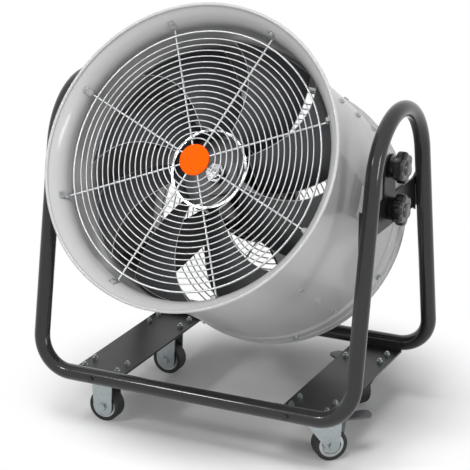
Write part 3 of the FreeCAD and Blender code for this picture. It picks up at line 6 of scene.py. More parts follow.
import bmesh
import bpy
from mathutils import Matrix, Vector


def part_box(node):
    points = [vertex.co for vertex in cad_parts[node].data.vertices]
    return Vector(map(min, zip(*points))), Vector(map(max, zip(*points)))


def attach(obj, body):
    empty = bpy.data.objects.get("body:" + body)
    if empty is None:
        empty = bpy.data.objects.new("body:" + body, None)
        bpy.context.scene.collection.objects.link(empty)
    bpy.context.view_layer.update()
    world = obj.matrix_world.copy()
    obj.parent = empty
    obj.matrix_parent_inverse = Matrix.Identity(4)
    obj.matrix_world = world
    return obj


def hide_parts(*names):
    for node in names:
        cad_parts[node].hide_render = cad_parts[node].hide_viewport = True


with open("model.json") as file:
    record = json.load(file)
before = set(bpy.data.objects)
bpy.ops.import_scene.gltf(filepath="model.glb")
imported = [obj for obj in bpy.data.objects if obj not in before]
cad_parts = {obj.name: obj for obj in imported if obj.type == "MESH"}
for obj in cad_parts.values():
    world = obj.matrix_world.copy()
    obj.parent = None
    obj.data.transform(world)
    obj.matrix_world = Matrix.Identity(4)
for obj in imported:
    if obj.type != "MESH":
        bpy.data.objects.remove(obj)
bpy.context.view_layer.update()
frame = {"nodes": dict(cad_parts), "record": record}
NODES = frame["nodes"]
RECORD = frame["record"]

bl_info = {
    "name": "Drum fan dressing",
    "version": (1, 0, 0),
    "blender": (4, 5, 0),
    "location": "View3D > Sidebar > Fan",
    "description": "Paints and details a portable drum fan on casters",
    "category": "Object",
}

JOINTS = {joint["name"]: joint for joint in RECORD["behaviour"]["joints"]}
PIVOT = tuple(JOINTS["drum_tilt"]["pos_m"])
DRUM_AXIS = tuple(Vector(JOINTS["impeller_spin"]["axis"]).normalized())
SIDES = {"left": -1, "right": 1}
ENDS = ("front", "rear")
WHITE = (1.0, 1.0, 1.0, 1.0)

# Patterns of the finishes: waves per metre, levels of detail and, for one, their roughness.
MOTTLE = (7.0, 4.0)
SMUDGE = (22.0, 5.0)
PEEL = (420.0, 2.0)
# Mottling of the painted shade inside the barrel.
BARREL_SHADE_NOISE = (18.0, 4.0)
# Patches of the lighter tone along the blades' sharp edges.
EDGE_PATCHES = (30.0, 4.0)
CLOUD = (40.0, 5.0, 0.6)
STAIN = (45.0, 4.0)
BLOOM = (25.0, 4.0)
GRAIN = (900.0, 2.0)
ENAMEL = (12.0, 3.0)
FLOOR = (0.6, 2.0)
SPANGLE = 160.0
FINE_SPANGLE = 400.0
RINGS = 900.0

# Values between which a mark rises from nothing to full.
EDGE_RANGE = (0.01, 0.1)
EDGE_PATCH_RANGE = (0.25, 0.45)
STAIN_RANGE = (0.38, 0.62)

# Darkest and lightest share of a base colour.
PLATED_TONES = (0.82, 1.14)
HUB_TONES = (0.25, 1.4)
MOULDED_TONES = (0.8, 1.3)
ENAMEL_TONES = (0.96, 1.0)
FLOOR_TONES = (0.995, 1.005)

# How far each pattern moves the roughness.
SMUDGE_GLOSS = 0.1
SPANGLE_GLOSS = 0.06
CLOUD_GLOSS = 0.12
PLATED_GLOSS = -0.07
RING_GLOSS = 0.05
BLOOM_GLOSS = 0.12
ENAMEL_GLOSS = 0.05

# Painted shade in the barrel: its thinnest share, its swing, its tone and the roughness that it adds.
BARREL_SHADE_THIN = 0.8
BARREL_SHADE_SWING = 0.3
BARREL_SHADE_TONE = 0.2
BARREL_SHADE_GLOSS = 0.45

LIGHTS = (
    # name, place, target, width and height, shows in reflections, reaches the floor
    ("key", (-1.9, -3.2, 3.0), (0.0, 0.0, 0.4), (0.5, 0.5), True, True),
    ("fill", (3.6, -1.1, 1.5), (0.0, 0.0, 0.5), (0.7, 1.4), True, True),
    ("front", (1.9, -3.6, 0.6), (0.0, 0.0, 0.45), (1.6, 0.9), False, True),
    ("top", (0.2, -1.3, 3.4), (0.0, 0.05, 0.4), (1.8, 1.8), False, True),
    ("back", (-0.9, 3.3, 2.6), (0.0, 0.0, 0.5), (1.6, 1.2), False, False),
)
CAMERA_PLACE = (1.7673, -3.7016, 1.8308)
CAMERA_TARGET = (-0.00623, 0.0, 0.46462)
FADE_CENTRE = (0.03, 0.10, 0.0)


def number(label, note, default, unit="NONE", low=0.0, high=10.0):
    """A size or share for the sidebar."""
    return bpy.props.FloatProperty(
        name=label, description=note, default=default, unit=unit, min=low, max=high, precision=4
    )


def colour(label, note, default):
    """A scene colour for the sidebar."""
    return bpy.props.FloatVectorProperty(
        name=label, description=note, default=default, subtype="COLOR", size=3, min=0.0, max=1.0
    )


class FanColours(bpy.types.PropertyGroup):
    """Base colours of the finishes."""

    drum: colour("Drum", "Grey powder coat on the drum", (0.35, 0.35, 0.352))
    tube: colour("Frame", "Anthracite coat on the tube frame", (0.012, 0.0123, 0.0132))
    plate: colour("Plates", "Black coat on the frame's flat plates", (0.010, 0.010, 0.0108))
    blade: colour("Blades", "Dark coat on the impeller blades", (0.034, 0.035, 0.037))
    wire: colour("Guard wire", "Bright plating on the guards", (0.58, 0.59, 0.60))
    zinc: colour("Zinc", "Plated casters and fasteners", (0.36, 0.40, 0.41))
    hub: colour("Hub", "Polished wall of the impeller hub", (0.20, 0.205, 0.21))
    steel: colour("Shaft", "Bare steel of the shaft and its nut", (0.09, 0.093, 0.096))
    cup: colour("Hub cup", "Dull inside of the impeller hub", (0.075, 0.076, 0.078))
    badge: colour("Badge", "Plain badge in the middle of the guard", (0.88, 0.080, 0.0))
    rubber: colour("Rubber", "Tyres", (0.010, 0.010, 0.011))
    plastic: colour("Plastic", "Knobs, terminal box and cable gland", (0.004, 0.004, 0.0045))
    core: colour("Wheel core", "Pressed wheel discs", (0.50, 0.52, 0.53))
    pedal: colour("Pedal", "Brake pedals", (0.055, 0.057, 0.06))
    motor: colour("Motor", "Motor housing and arms", (0.03, 0.03, 0.032))
    lamination: colour("Lamination", "Stator and rotor", (0.08, 0.06, 0.05))
    floor: colour("Floor", "Studio floor", (0.93, 0.93, 0.93))


class FanRoughness(bpy.types.PropertyGroup):
    """Roughness of the finishes."""

    drum: number("Drum", "Coat on the drum", 0.34, high=1.0)
    tube: number("Frame", "Coat on the tube frame", 0.2, high=1.0)
    plate: number("Plates", "Coat on the frame's flat plates", 0.36, high=1.0)
    blade: number("Blades", "Coat on the impeller blades", 0.31, high=1.0)
    wire: number("Guard wire", "Plating on the guards", 0.34, high=1.0)
    zinc: number("Zinc", "Plated casters and fasteners", 0.34, high=1.0)
    cup: number("Hub cup", "Inside of the impeller hub", 0.42, high=1.0)
    hub: number("Hub", "Wall of the impeller hub", 0.08, high=1.0)
    steel: number("Shaft", "Bare steel of the shaft and its nut", 0.22, high=1.0)
    badge: number("Badge", "Enamel of the badge", 0.45, high=1.0)
    rubber: number("Rubber", "Tyres", 0.55, high=1.0)
    knob: number("Knob", "Moulded star knobs", 0.26, high=1.0)
    box: number("Box", "Terminal box and cable gland", 0.4, high=1.0)
    core: number("Wheel core", "Pressed wheel discs", 0.3, high=1.0)
    pedal: number("Pedal", "Brake pedals", 0.4, high=1.0)
    motor: number("Motor", "Motor housing and arms", 0.45, high=1.0)
    lamination: number("Lamination", "Stator and rotor", 0.6, high=1.0)
    floor: number("Floor", "Studio floor", 0.6, high=1.0)


class FanSizes(bpy.types.PropertyGroup):
    """Sizes of the added details."""

    peel: number("Orange peel", "Depth of the powder coat's ripple", 0.00012, "LENGTH")
    grain: number("Plastic grain", "Depth of the moulded grain", 0.00010, "LENGTH")
    scratch: number("Scratches", "Depth of the scratches in plating", 0.00004, "LENGTH")
    rings: number("Turned rings", "Depth of the rings on the hub", 0.00003, "LENGTH")
    bright_edge: number("Bright edge", "Width of the bright edge on a blade", 0.0032, "LENGTH")
    weld: number("Weld radius", "Half width of a weld bead", 0.0024, "LENGTH")
    weld_spread: number("Weld spread", "Bead's distance from the middle of the tube", 0.0085, "LENGTH")
    weld_low: number("Weld start", "Bead's start above the plate's foot", 0.012, "LENGTH")
    weld_high: number("Weld end", "Bead's end below the plate's top", 0.115, "LENGTH")
    lean: number("Lean", "Slope of the uprights, run over rise", 0.1893)
    barrel: number("Barrel radius", "Middle of the drum's wall", 0.32325, "LENGTH")
    # Where the painted shade lies inside the barrel.
    barrel_shade_edge: number("Barrel shade edge", "How softly the dust ends inside the wall", 0.0005, "LENGTH")
    barrel_shade_start: number("Barrel shade start", "Where the dust begins, along the axis", -0.17, "LENGTH", -1.0)
    barrel_shade_full: number("Barrel shade full", "Where the dust is full, along the axis", -0.08, "LENGTH", -1.0)
    cup_radius: number("Cup radius", "Where the hub's dull inside ends", 0.084, "LENGTH")
    cup_edge: number("Cup edge", "Width of the change from dull to polished", 0.003, "LENGTH")


class FanStage(bpy.types.PropertyGroup):
    """Camera and light."""

    lens: number("Lens", "Focal length in millimetres", 137.93, low=10.0, high=500.0)
    sensor: number("Sensor", "Width of the sensor in millimetres", 36.0, low=1.0, high=100.0)
    reach: number("Reach", "How far the camera sees", 200.0, "LENGTH", high=1000.0)
    key: number("Key light", "Power of the high light on the left", 34.0, high=1000.0)
    fill: number("Fill light", "Power of the light on the right", 34.0, high=1000.0)
    front: number("Front light", "Power of the low light beside the camera", 57.0, high=1000.0)
    top: number("Top light", "Power of the light above", 122.0, high=1000.0)
    back: number("Back light", "Power of the light behind", 46.0, high=1000.0)
    sky: number("Sky", "Strength of the even light all round", 0.12)
    shadow_near: number("Shadow near", "Where the floor starts to fade to white", 0.30, "LENGTH")
    shadow_far: number("Shadow far", "Where the floor is white", 0.72, "LENGTH")
    floor_size: number("Floor size", "Width of the floor", 60.0, "LENGTH", high=200.0)


def colours():
    """The scene's colours."""
    return bpy.context.scene.fan_colours


def roughness():
    """The scene's roughnesses."""
    return bpy.context.scene.fan_roughness


def sizes():
    """The scene's sizes."""
    return bpy.context.scene.fan_sizes


def shade(base, share=1.0):
    """A colour made lighter or darker, with full alpha."""
    return tuple(min(max(part * share, 0.0), 1.0) for part in base) + (1.0,)


class Paint:
    """Builds the nodes of one material or world."""

    def __init__(self, holder, output="ShaderNodeOutputMaterial"):
        self.holder = holder
        holder.use_nodes = True
        self.tree = holder.node_tree
        self.tree.nodes.clear()
        self.output = self.tree.nodes.new(output)

    def add(self, kind, settings=None, inputs=None, output=0):
        """One node: its type, its settings, then the values or links of its sockets."""
        node = self.tree.nodes.new(kind)
        for key, value in (settings or {}).items():
            setattr(node, key, value)
        for key, value in (inputs or {}).items():
            if isinstance(value, Value):
                self.tree.links.new(value.socket, node.inputs[key])
            else:
                node.inputs[key].default_value = value
        return Value(self, node.outputs[output])

    def vector(self, operation, *sides, output="Vector"):
        """Maths on vectors."""
        inputs = dict(enumerate(sides))
        return self.add("ShaderNodeVectorMath", {"operation": operation}, inputs, output)

    def place(self):
        """The point on the object that is being shaded."""
        return self.add("ShaderNodeTexCoord", output="Object")

    def noise(self, scale, detail=3.0, rough=0.5):
        """Even mottling between 0 and 1."""
        inputs = {"Vector": self.place(), "Scale": scale, "Detail": detail, "Roughness": rough}
        return self.add("ShaderNodeTexNoise", {}, inputs, "Fac")

    def ramp(self, value, low, high):
        """Rises smoothly from 0 to 1 between two values."""
        inputs = {"Value": value, "From Min": low, "From Max": high}
        return self.add("ShaderNodeMapRange", {"interpolation_type": "SMOOTHSTEP"}, inputs)

    def mix(self, share, first, second):
        """A colour between two others."""
        inputs = {"Factor": share, 6: first, 7: second}
        return self.add("ShaderNodeMix", {"data_type": "RGBA"}, inputs, 2)

    def tones(self, share, base, low, high):
        """A colour that swings between a darker and a lighter shade of itself."""
        return self.mix(share, shade(base, low), shade(base, high))

    def bump(self, height, depth):
        """A normal ruffled by a height."""
        return self.add("ShaderNodeBump", {}, {"Height": height, "Distance": depth}, "Normal")

    def edges(self, reach):
        """1 along sharp edges, 0 on open faces."""
        eased = self.add("ShaderNodeBevel", {"samples": 6}, {"Radius": reach}, "Normal")
        plain = self.add("ShaderNodeNewGeometry", output="Normal")
        turn = self.vector("DOT_PRODUCT", eased, plain, output="Value")
        return self.ramp(1 - turn, *EDGE_RANGE)

    def seen(self):
        """1 for rays that the camera meets straight, in a reflection or through glass."""
        kinds = ("Is Camera Ray", "Is Glossy Ray", "Is Transmission Ray")
        camera, glossy, clear = (self.add("ShaderNodeLightPath", output=kind) for kind in kinds)
        return self.add("ShaderNodeClamp", {}, {"Value": camera + glossy + clear})

    def principled(self, **inputs):
        """A surface shader; constants sit on its own sockets."""
        named = {}
        for key, value in inputs.items():
            named[key.replace("_", " ").title().replace("Ior", "IOR")] = value
        return self.add("ShaderNodeBsdfPrincipled", {}, named)

    def blend(self, share, first, second):
        """A shader between two others."""
        return self.add("ShaderNodeMixShader", {}, {0: share, 1: first, 2: second})

    def finish(self, shader):
        """Shows a shader on the surface."""
        self.tree.links.new(shader.socket, self.output.inputs["Surface"])
        return self.holder


class Value:
    """A shader socket, with maths on it written as plain expressions."""

    def __init__(self, paint, socket):
        self.paint = paint
        self.socket = socket

    def math(self, operation, first, second):
        """One maths node."""
        return self.paint.add("ShaderNodeMath", {"operation": operation}, {0: first, 1: second})

    def __add__(self, other):
        return self.math("ADD", self, other)

    def __radd__(self, other):
        return self.math("ADD", other, self)

    def __sub__(self, other):
        return self.math("SUBTRACT", self, other)

    def __rsub__(self, other):
        return self.math("SUBTRACT", other, self)

    def __mul__(self, other):
        return self.math("MULTIPLY", self, other)

    def __rmul__(self, other):
        return self.math("MULTIPLY", other, self)


def new_paint(name):
    """A new material, ready for its nodes."""
    return Paint(bpy.data.materials.new(name))


def drum_place(paint):
    """The shaded point, seen from the tilt pivot."""
    return paint.vector("SUBTRACT", paint.place(), PIVOT)


def drum_radius(paint):
    """Distance from the drum's axis, in metres."""
    across = paint.vector("CROSS_PRODUCT", drum_place(paint), DRUM_AXIS)
    return paint.vector("LENGTH", across, output="Value")


def drum_depth(paint):
    """Distance from the tilt pivot along the drum's axis, in metres."""
    return paint.vector("DOT_PRODUCT", drum_place(paint), DRUM_AXIS, output="Value")


def painted_barrel_shade(paint, look):
    """Painted shade inside the barrel, from the blades to the rear: a darker colour that also dulls
    the coat where it lies.
    """
    size = sizes()
    radius = drum_radius(paint)
    inside = 1 - paint.ramp(radius, size.barrel - size.barrel_shade_edge, size.barrel + size.barrel_shade_edge)
    behind = paint.ramp(drum_depth(paint), size.barrel_shade_start, size.barrel_shade_full)
    # Share of painted shade: the inner face of the wall, from behind the blades to the rear.
    barrel_shade = inside * behind * (BARREL_SHADE_THIN + paint.noise(*BARREL_SHADE_NOISE) * BARREL_SHADE_SWING)
    return {
        "base_color": paint.mix(barrel_shade, look["base_color"], shade(colours().drum, BARREL_SHADE_TONE)),
        "roughness": look["roughness"] + barrel_shade * BARREL_SHADE_GLOSS,
        "coat_weight": look["coat_weight"] * (1 - barrel_shade),
    }


def bright_edges(paint, look):
    """Coat lightened to the guard wire's tone along sharp edges, in patches."""
    edge_share = paint.edges(sizes().bright_edge) * paint.ramp(paint.noise(*EDGE_PATCHES), *EDGE_PATCH_RANGE)
    return {"base_color": paint.mix(edge_share, look["base_color"], shade(colours().wire))}


def powder_coat(name, base, rough, depth, spread=0.06, coat=0.0, sheen=0.5, layer=None):
    """Powder coat: fine orange peel, faint mottling, uneven gloss and any layer over it: painted shade
    or lighter edges.
    """
    paint = new_paint(name)
    look = {
        "base_color": paint.tones(paint.noise(*MOTTLE), base, 1 - spread, 1 + spread),
        "roughness": rough - SMUDGE_GLOSS / 2 + paint.noise(*SMUDGE) * SMUDGE_GLOSS,
        "coat_weight": coat,
    }
    if layer:
        look.update(layer(paint, look))
    peel = paint.bump(paint.noise(*PEEL), depth)
    shader = paint.principled(normal=peel, coat_roughness=0.06, specular_ior_level=sheen, **look)
    return paint.finish(shader)


def plated(name, base, rough, scale=SPANGLE):
    """Zinc plate: faint spangle in tone and gloss with fine scratches."""
    paint = new_paint(name)
    inputs = {"Vector": paint.place(), "Scale": scale}
    cells = paint.add("ShaderNodeTexVoronoi", {}, inputs, "Color")
    grey = paint.add("ShaderNodeRGBToBW", {}, {"Color": cells})
    cloud = paint.noise(*CLOUD)
    tone = paint.tones(grey * 0.5 + cloud * 0.5, base, *PLATED_TONES)
    gloss = rough + PLATED_GLOSS + grey * SPANGLE_GLOSS + cloud * CLOUD_GLOSS
    scratch = paint.bump(cloud, sizes().scratch)
    shader = paint.principled(base_color=tone, roughness=gloss, metallic=1.0, normal=scratch)
    return paint.finish(shader)


def turned_hub(name):
    """Turned hub: rings round the drum's axis, dull in the cup and polished on the stained wall."""
    tones = colours()
    rough = roughness()
    size = sizes()
    paint = new_paint(name)
    radius = drum_radius(paint)
    inputs = {"W": radius, "Scale": RINGS}
    rings = paint.add("ShaderNodeTexNoise", {"noise_dimensions": "1D"}, inputs, "Fac")
    polish = paint.ramp(radius, size.cup_radius, size.cup_radius + size.cup_edge)
    stain = paint.ramp(paint.noise(*STAIN), *STAIN_RANGE)
    tone = paint.mix(polish, shade(tones.cup), paint.tones(stain, tones.hub, *HUB_TONES))
    gloss = rough.cup - polish * (rough.cup - rough.hub) + rings * RING_GLOSS
    lines = paint.bump(rings, size.rings)
    shader = paint.principled(base_color=tone, roughness=gloss, metallic=polish, normal=lines)
    return paint.finish(shader)


def moulded(name, base, rough, coat=0.0):
    """Moulded plastic or rubber with a fine grain."""
    paint = new_paint(name)
    bloom = paint.noise(*BLOOM)
    look = {
        "base_color": paint.tones(bloom, base, *MOULDED_TONES),
        "roughness": rough + bloom * BLOOM_GLOSS,
        "normal": paint.bump(paint.noise(*GRAIN), sizes().grain),
    }
    return paint.finish(paint.principled(coat_weight=coat, coat_roughness=0.15, **look))


def enamel(name, base, rough):
    """Smooth enamel in one clear colour."""
    paint = new_paint(name)
    cloud = paint.noise(*ENAMEL)
    look = {
        "base_color": paint.tones(cloud, base, *ENAMEL_TONES),
        "roughness": rough + cloud * ENAMEL_GLOSS,
    }
    return paint.finish(paint.principled(specular_ior_level=0.06, **look))


def wear(names, material):
    """Gives CAD nodes their finish."""
    for name in names:
        NODES[name].data.materials.clear()
        NODES[name].data.materials.append(material)


def piece(name, mesh, body, material):
    """A new smooth piece that moves with a body."""
    mesh.polygons.foreach_set("use_smooth", [True] * len(mesh.polygons))
    item = bpy.data.objects.new(name, mesh)
    bpy.context.scene.collection.objects.link(item)
    mesh.materials.append(material)
    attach(item, body)
    return item


class FAN_OT_drum(bpy.types.Operator):
    """Coats the drum shell, its guards and its badge"""

    bl_idname = "fan.drum"
    bl_label = "Finish the drum"

    def execute(self, context):
        tones = colours()
        rough = roughness()
        # The drum's coat carries painted shade inside the barrel, behind the blades.
        look = {"spread": 0.03, "coat": 0.35, "layer": painted_barrel_shade}
        coat = powder_coat("drum_coat", tones.drum, rough.drum, sizes().peel, **look)
        wear(["drum_shell", "left_drum_bracket", "right_drum_bracket", "drum_bolts"], coat)
        bright = plated("guard_plating", tones.wire, rough.wire, FINE_SPANGLE)
        wear(["front_guard", "rear_guard", "front_guard_bolts"], bright)
        wear(["badge"], enamel("badge_enamel", tones.badge, rough.badge))
        return {"FINISHED"}


class FAN_OT_frame(bpy.types.Operator):
    """Coats the tube frame, its plates and their screws"""

    bl_idname = "fan.frame"
    bl_label = "Finish the frame"

    def execute(self, context):
        tones = colours()
        rough = roughness()
        peel = sizes().peel
        look = {"spread": 0.08, "coat": 0.4, "sheen": 0.25}
        tube = powder_coat("frame_coat", tones.tube, rough.tube, peel / 2, **look)
        plate = powder_coat("plate_coat", tones.plate, rough.plate, peel, spread=0.1, sheen=0.3)
        wear(["left_hoop", "right_hoop", "front_rail", "rear_rail", "rail_screws"], tube)
        wear([f"{side}_{name}" for side in SIDES for name in ("cross_plate", "pivot_plate")], plate)
        return {"FINISHED"}


class FAN_OT_impeller(bpy.types.Operator):
    """Finishes the impeller and the motor behind it"""

    bl_idname = "fan.impeller"
    bl_label = "Finish the impeller"

    def execute(self, context):
        tones = colours()
        rough = roughness()
        peel = sizes().peel
        # The blades' coat is lighter along their sharp edges, in patches.
        look = {"spread": 0.1, "coat": 0.25, "sheen": 0.4, "layer": bright_edges}
        wear(["impeller_blades"], powder_coat("blade_coat", tones.blade, rough.blade, peel, **look))
        wear(["impeller_hub", "clamp_disc"], turned_hub("hub_metal"))
        steel = plated("shaft_steel", tones.steel, rough.steel)
        wear(["shaft_nut", "motor_shaft", "motor_bearings"], steel)
        motor = powder_coat("motor_coat", tones.motor, rough.motor, peel, spread=0.1)
        wear(["motor_housing", "motor_front_cap", "motor_rear_cap", "motor_mount"], motor)
        iron = powder_coat("lamination", tones.lamination, rough.lamination, peel, spread=0.15)
        wear(["stator", "rotor"], iron)
        wear(["terminal_box", "cable_gland"], moulded("box_plastic", tones.plastic, rough.box))
        return {"FINISHED"}


class FAN_OT_casters(bpy.types.Operator):
    """Finishes the casters, their wheels and brakes, and the plated fasteners"""

    bl_idname = "fan.casters"
    bl_label = "Finish the casters"

    def execute(self, context):
        tones = colours()
        rough = roughness()
        zinc = plated("caster_zinc", tones.zinc, rough.zinc)
        groups = ("rigid_fork", "swivel_plate", "swivel_fork", "swivel_axle", "brake_pin")
        wear([f"{group}_{end}" for group in groups for end in ENDS], zinc)
        wear(["rigid_axles", "caster_bolts", "caster_nuts", "rear_guard_screws", "knob_studs"], zinc)
        pedal = powder_coat("pedal_coat", tones.pedal, rough.pedal, sizes().peel)
        wear([f"brake_pedal_{end}" for end in ENDS], pedal)
        wheels = [f"{side}_{end}" for side in SIDES for end in ENDS]
        wear([f"wheel_core_{wheel}" for wheel in wheels], plated("wheel_disc", tones.core, rough.core))
        wear([f"tyre_{wheel}" for wheel in wheels], moulded("tyre_rubber", tones.rubber, rough.rubber))
        return {"FINISHED"}


KNOB_RINGS = (
    # share of the depth, share of the outer radius, share of the star form
    (0.00, 0.60, 0.0),
    (0.00, 0.67, 0.0),
    (0.02, 0.695, 0.0),
    (0.30, 0.71, 0.0),
    (0.335, 0.75, 0.3),
    (0.36, 0.86, 0.8),
    (0.40, 0.95, 1.0),
    (0.46, 0.985, 1.0),
    (0.56, 1.00, 1.0),
    (0.72, 1.00, 1.0),
    (0.82, 0.985, 1.0),
    (0.88, 0.95, 1.0),
    (0.92, 0.88, 1.0),
    (0.932, 0.78, 0.8),
    (0.935, 0.62, 0.3),
    (0.935, 0.48, 0.0),
    (0.915, 0.465, 0.0),
    (0.915, 0.445, 0.0),
    (0.98, 0.425, 0.0),
    (1.0, 0.38, 0.0),
    (1.0, 0.02, 0.0),
)


def middle(low, high):
    """The middle of a box."""
    return [(first + second) / 2 for first, second in zip(low, high)]


def lathe(rings):
    """A closed skin through rings of points, capped at both ends."""
    form = bmesh.new()
    rows = [[form.verts.new(point) for point in ring] for ring in rings]
    segments = len(rows[0])
    for first, second in zip(rows, rows[1:]):
        for index in range(segments):
            after = (index + 1) % segments
            form.faces.new((first[index], first[after], second[after], second[index]))
    form.faces.new(reversed(rows[0]))
    form.faces.new(rows[-1])
    bmesh.ops.recalc_face_normals(form, faces=form.faces)
    mesh = bpy.data.meshes.new("skin")
    form.to_mesh(mesh)
    form.free()
    return mesh


def star_knob(node, side, segments=120, lobes=6, notch=0.21, blunt=0.8):
    """The rings of a moulded star knob in its CAD node's box."""
    low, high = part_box(node)
    depth = high[0] - low[0]
    radius = (high[2] - low[2]) / 2
    centre = Vector(middle(low, high))
    rings = []
    for along, wide, star in KNOB_RINGS:
        ring = []
        for index in range(segments):
            turn = 2 * math.pi * index / segments
            wave = (0.5 + 0.5 * math.cos(lobes * turn)) ** blunt
            reach = radius * wide * (1 - notch * star * (1 - wave))
            across = (reach * math.sin(turn), reach * math.cos(turn))
            ring.append(centre + Vector((side * depth * (along - 0.5), *across)))
        rings.append(ring)
    return rings


class FAN_OT_knobs(bpy.types.Operator):
    """Moulds the star knobs with rounded lobes and a pressed-in cap"""

    bl_idname = "fan.knobs"
    bl_label = "Mould the knobs"

    def execute(self, context):
        grip = moulded("knob_plastic", colours().plastic, roughness().knob, coat=0.3)
        for side, sign in SIDES.items():
            for use in ("pivot", "clamp"):
                node = f"{side}_{use}_knob"
                item = piece(f"{node}_grip", lathe(star_knob(node, sign)), node, grip)
                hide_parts(node)
        return {"FINISHED"}


def bead(path, radius, ripple=0.16, step=0.0022, sides=8, tail=0.35):
    """Rings of a weld bead along a path, rippled where each drop froze and thin at its ends."""
    points = [Vector(path[0])]
    for start, finish in zip(path, path[1:]):
        run = Vector(finish) - Vector(start)
        parts = max(int(run.length / (step / 2)), 1)
        points += [Vector(start) + run * (part / parts) for part in range(1, parts + 1)]
    last = len(points) - 1
    rings = []
    for index, point in enumerate(points):
        heading = points[min(index + 1, last)] - points[max(index - 1, 0)]
        basis = heading.to_track_quat("Z", "Y").to_matrix()
        swell = 1 + ripple * (1 if index % 2 else -1)
        if index in (0, last):
            swell = tail
        ring = []
        for side in range(sides):
            turn = 2 * math.pi * side / sides
            ring.append(point + basis @ Vector((math.cos(turn), math.sin(turn), 0)) * radius * swell)
        rings.append(ring)
    return rings


class FAN_OT_welds(bpy.types.Operator):
    """Lays the weld beads between the pivot plates and the uprights"""

    bl_idname = "fan.welds"
    bl_label = "Lay the welds"

    def execute(self, context):
        coat = bpy.data.materials["frame_coat"]
        size = sizes()
        rail = middle(*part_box("front_rail"))
        for side, sign in SIDES.items():
            low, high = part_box(f"{side}_pivot_plate")
            face = (high[0] if sign > 0 else low[0]) + sign * size.weld / 2
            heights = (low[2] + size.weld_low, high[2] - size.weld_high)
            for end, turn in zip(ENDS, (1, -1)):
                line = []
                for height in heights:
                    upright = rail[1] + (height - rail[2]) * size.lean
                    line.append((face, turn * (upright + size.weld_spread), height))
                mesh = lathe(bead(line, size.weld))
                piece(f"{side}_plate_weld_{end}", mesh, "frame", coat)
        return {"FINISHED"}


def aim(item, place, target):
    """Sets a light or the camera in its place, turned to its target."""
    item.location = place
    item.rotation_euler = (Vector(target) - Vector(place)).to_track_quat("-Z", "Y").to_euler()
    bpy.context.scene.collection.objects.link(item)


def area_light(name, place, target, size, power, mirrored):
    """A soft light; one that isn't mirrored shows in no reflection."""
    lamp = bpy.data.lights.new(name, "AREA")
    lamp.shape = "RECTANGLE"
    lamp.size, lamp.size_y = size
    lamp.energy = power
    item = bpy.data.objects.new(name, lamp)
    item.visible_glossy = mirrored
    aim(item, place, target)
    return item


def shade_floor(light, floor):
    """Keeps a light off the floor, so the shadow under the drum stays deep."""
    group = bpy.data.collections.new(f"{light.name}_shaded")
    group.objects.link(floor)
    group.collection_objects[0].light_linking.link_state = "EXCLUDE"
    light.light_linking.receiver_collection = group


def lay_floor(scene):
    """A floor that takes the fan's shadow and fades to white around it."""
    stage = scene.fan_stage
    half = stage.floor_size / 2
    mesh = bpy.data.meshes.new("studio_floor")
    corners = [(-half, -half, 0), (half, -half, 0), (half, half, 0), (-half, half, 0)]
    mesh.from_pydata(corners, [], [(0, 1, 2, 3)])
    floor = bpy.data.objects.new("studio_floor", mesh)
    scene.collection.objects.link(floor)
    paint = new_paint("studio_floor")
    tone = paint.tones(paint.noise(*FLOOR), colours().floor, *FLOOR_TONES)
    plain = paint.principled(base_color=tone, roughness=roughness().floor, specular_ior_level=0.2)
    white = paint.add("ShaderNodeEmission", {}, {"Strength": 1.0})
    distance = paint.vector("DISTANCE", paint.place(), FADE_CENTRE, output="Value")
    share = paint.seen() * paint.ramp(distance, stage.shadow_near, stage.shadow_far)
    mesh.materials.append(paint.finish(paint.blend(share, plain, white)))
    return floor


def fill_air(scene):
    """White surroundings that light the fan only faintly."""
    scene.world = bpy.data.worlds.new("studio")
    air = Paint(scene.world, "ShaderNodeOutputWorld")
    even = air.add("ShaderNodeBackground", {}, {"Color": WHITE, "Strength": scene.fan_stage.sky})
    white = air.add("ShaderNodeBackground", {}, {"Color": WHITE, "Strength": 1.0})
    air.finish(air.blend(air.seen(), even, white))


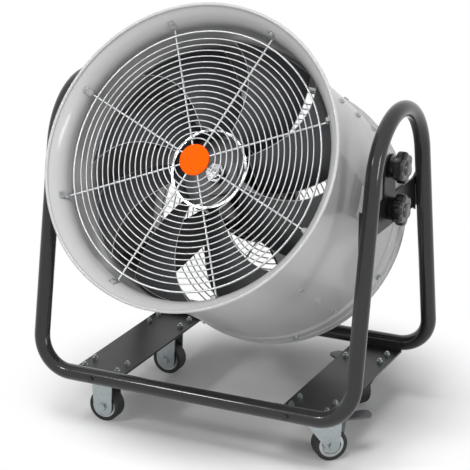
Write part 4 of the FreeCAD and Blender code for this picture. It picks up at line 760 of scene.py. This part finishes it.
def set_camera(scene):
    """The camera, above the fan and off to its right, with a long lens."""
    data = bpy.data.cameras.new("camera")
    data.lens = scene.fan_stage.lens
    data.sensor_width = scene.fan_stage.sensor
    data.clip_end = scene.fan_stage.reach
    camera = bpy.data.objects.new("camera", data)
    aim(camera, CAMERA_PLACE, CAMERA_TARGET)
    scene.camera = camera


class FAN_OT_stage(bpy.types.Operator):
    """Sets the floor, the white surroundings, the lights and the camera"""

    bl_idname = "fan.stage"
    bl_label = "Set the studio"

    def execute(self, context):
        scene = context.scene
        floor = lay_floor(scene)
        fill_air(scene)
        for name, place, target, size, mirrored, on_floor in LIGHTS:
            light = area_light(name, place, target, size, getattr(scene.fan_stage, name), mirrored)
            if not on_floor:
                shade_floor(light, floor)
        set_camera(scene)
        scene.view_settings.view_transform = "Standard"
        return {"FINISHED"}


class FAN_PT_panel(bpy.types.Panel):
    """Lists the fan's finishes and details"""

    bl_idname = "FAN_PT_panel"
    bl_label = "Drum fan"
    bl_space_type = "VIEW_3D"
    bl_region_type = "UI"
    bl_category = "Fan"

    def draw(self, context):
        for operator in OPERATORS:
            self.layout.operator(operator.bl_idname)
        for name, group in GROUPS.items():
            holder = getattr(context.scene, name)
            for key in group.__annotations__:
                self.layout.prop(holder, key)


OPERATORS = (
    FAN_OT_drum,
    FAN_OT_frame,
    FAN_OT_impeller,
    FAN_OT_casters,
    FAN_OT_knobs,
    FAN_OT_welds,
    FAN_OT_stage,
)
GROUPS = {
    "fan_colours": FanColours,
    "fan_roughness": FanRoughness,
    "fan_sizes": FanSizes,
    "fan_stage": FanStage,
}
CLASSES = (*GROUPS.values(), *OPERATORS, FAN_PT_panel)


def register():
    """Adds the panel, the operators and the scene's settings."""
    for item in CLASSES:
        bpy.utils.register_class(item)
    for name, group in GROUPS.items():
        setattr(bpy.types.Scene, name, bpy.props.PointerProperty(type=group))


def unregister():
    """Takes away what register added."""
    for name in GROUPS:
        delattr(bpy.types.Scene, name)
    for item in reversed(CLASSES):
        bpy.utils.unregister_class(item)


def main():
    """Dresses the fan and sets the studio."""
    register()
    bpy.ops.fan.drum()
    bpy.ops.fan.frame()
    bpy.ops.fan.impeller()
    bpy.ops.fan.casters()
    bpy.ops.fan.knobs()
    bpy.ops.fan.welds()
    bpy.ops.fan.stage()


if __name__ == "__main__":
    main()
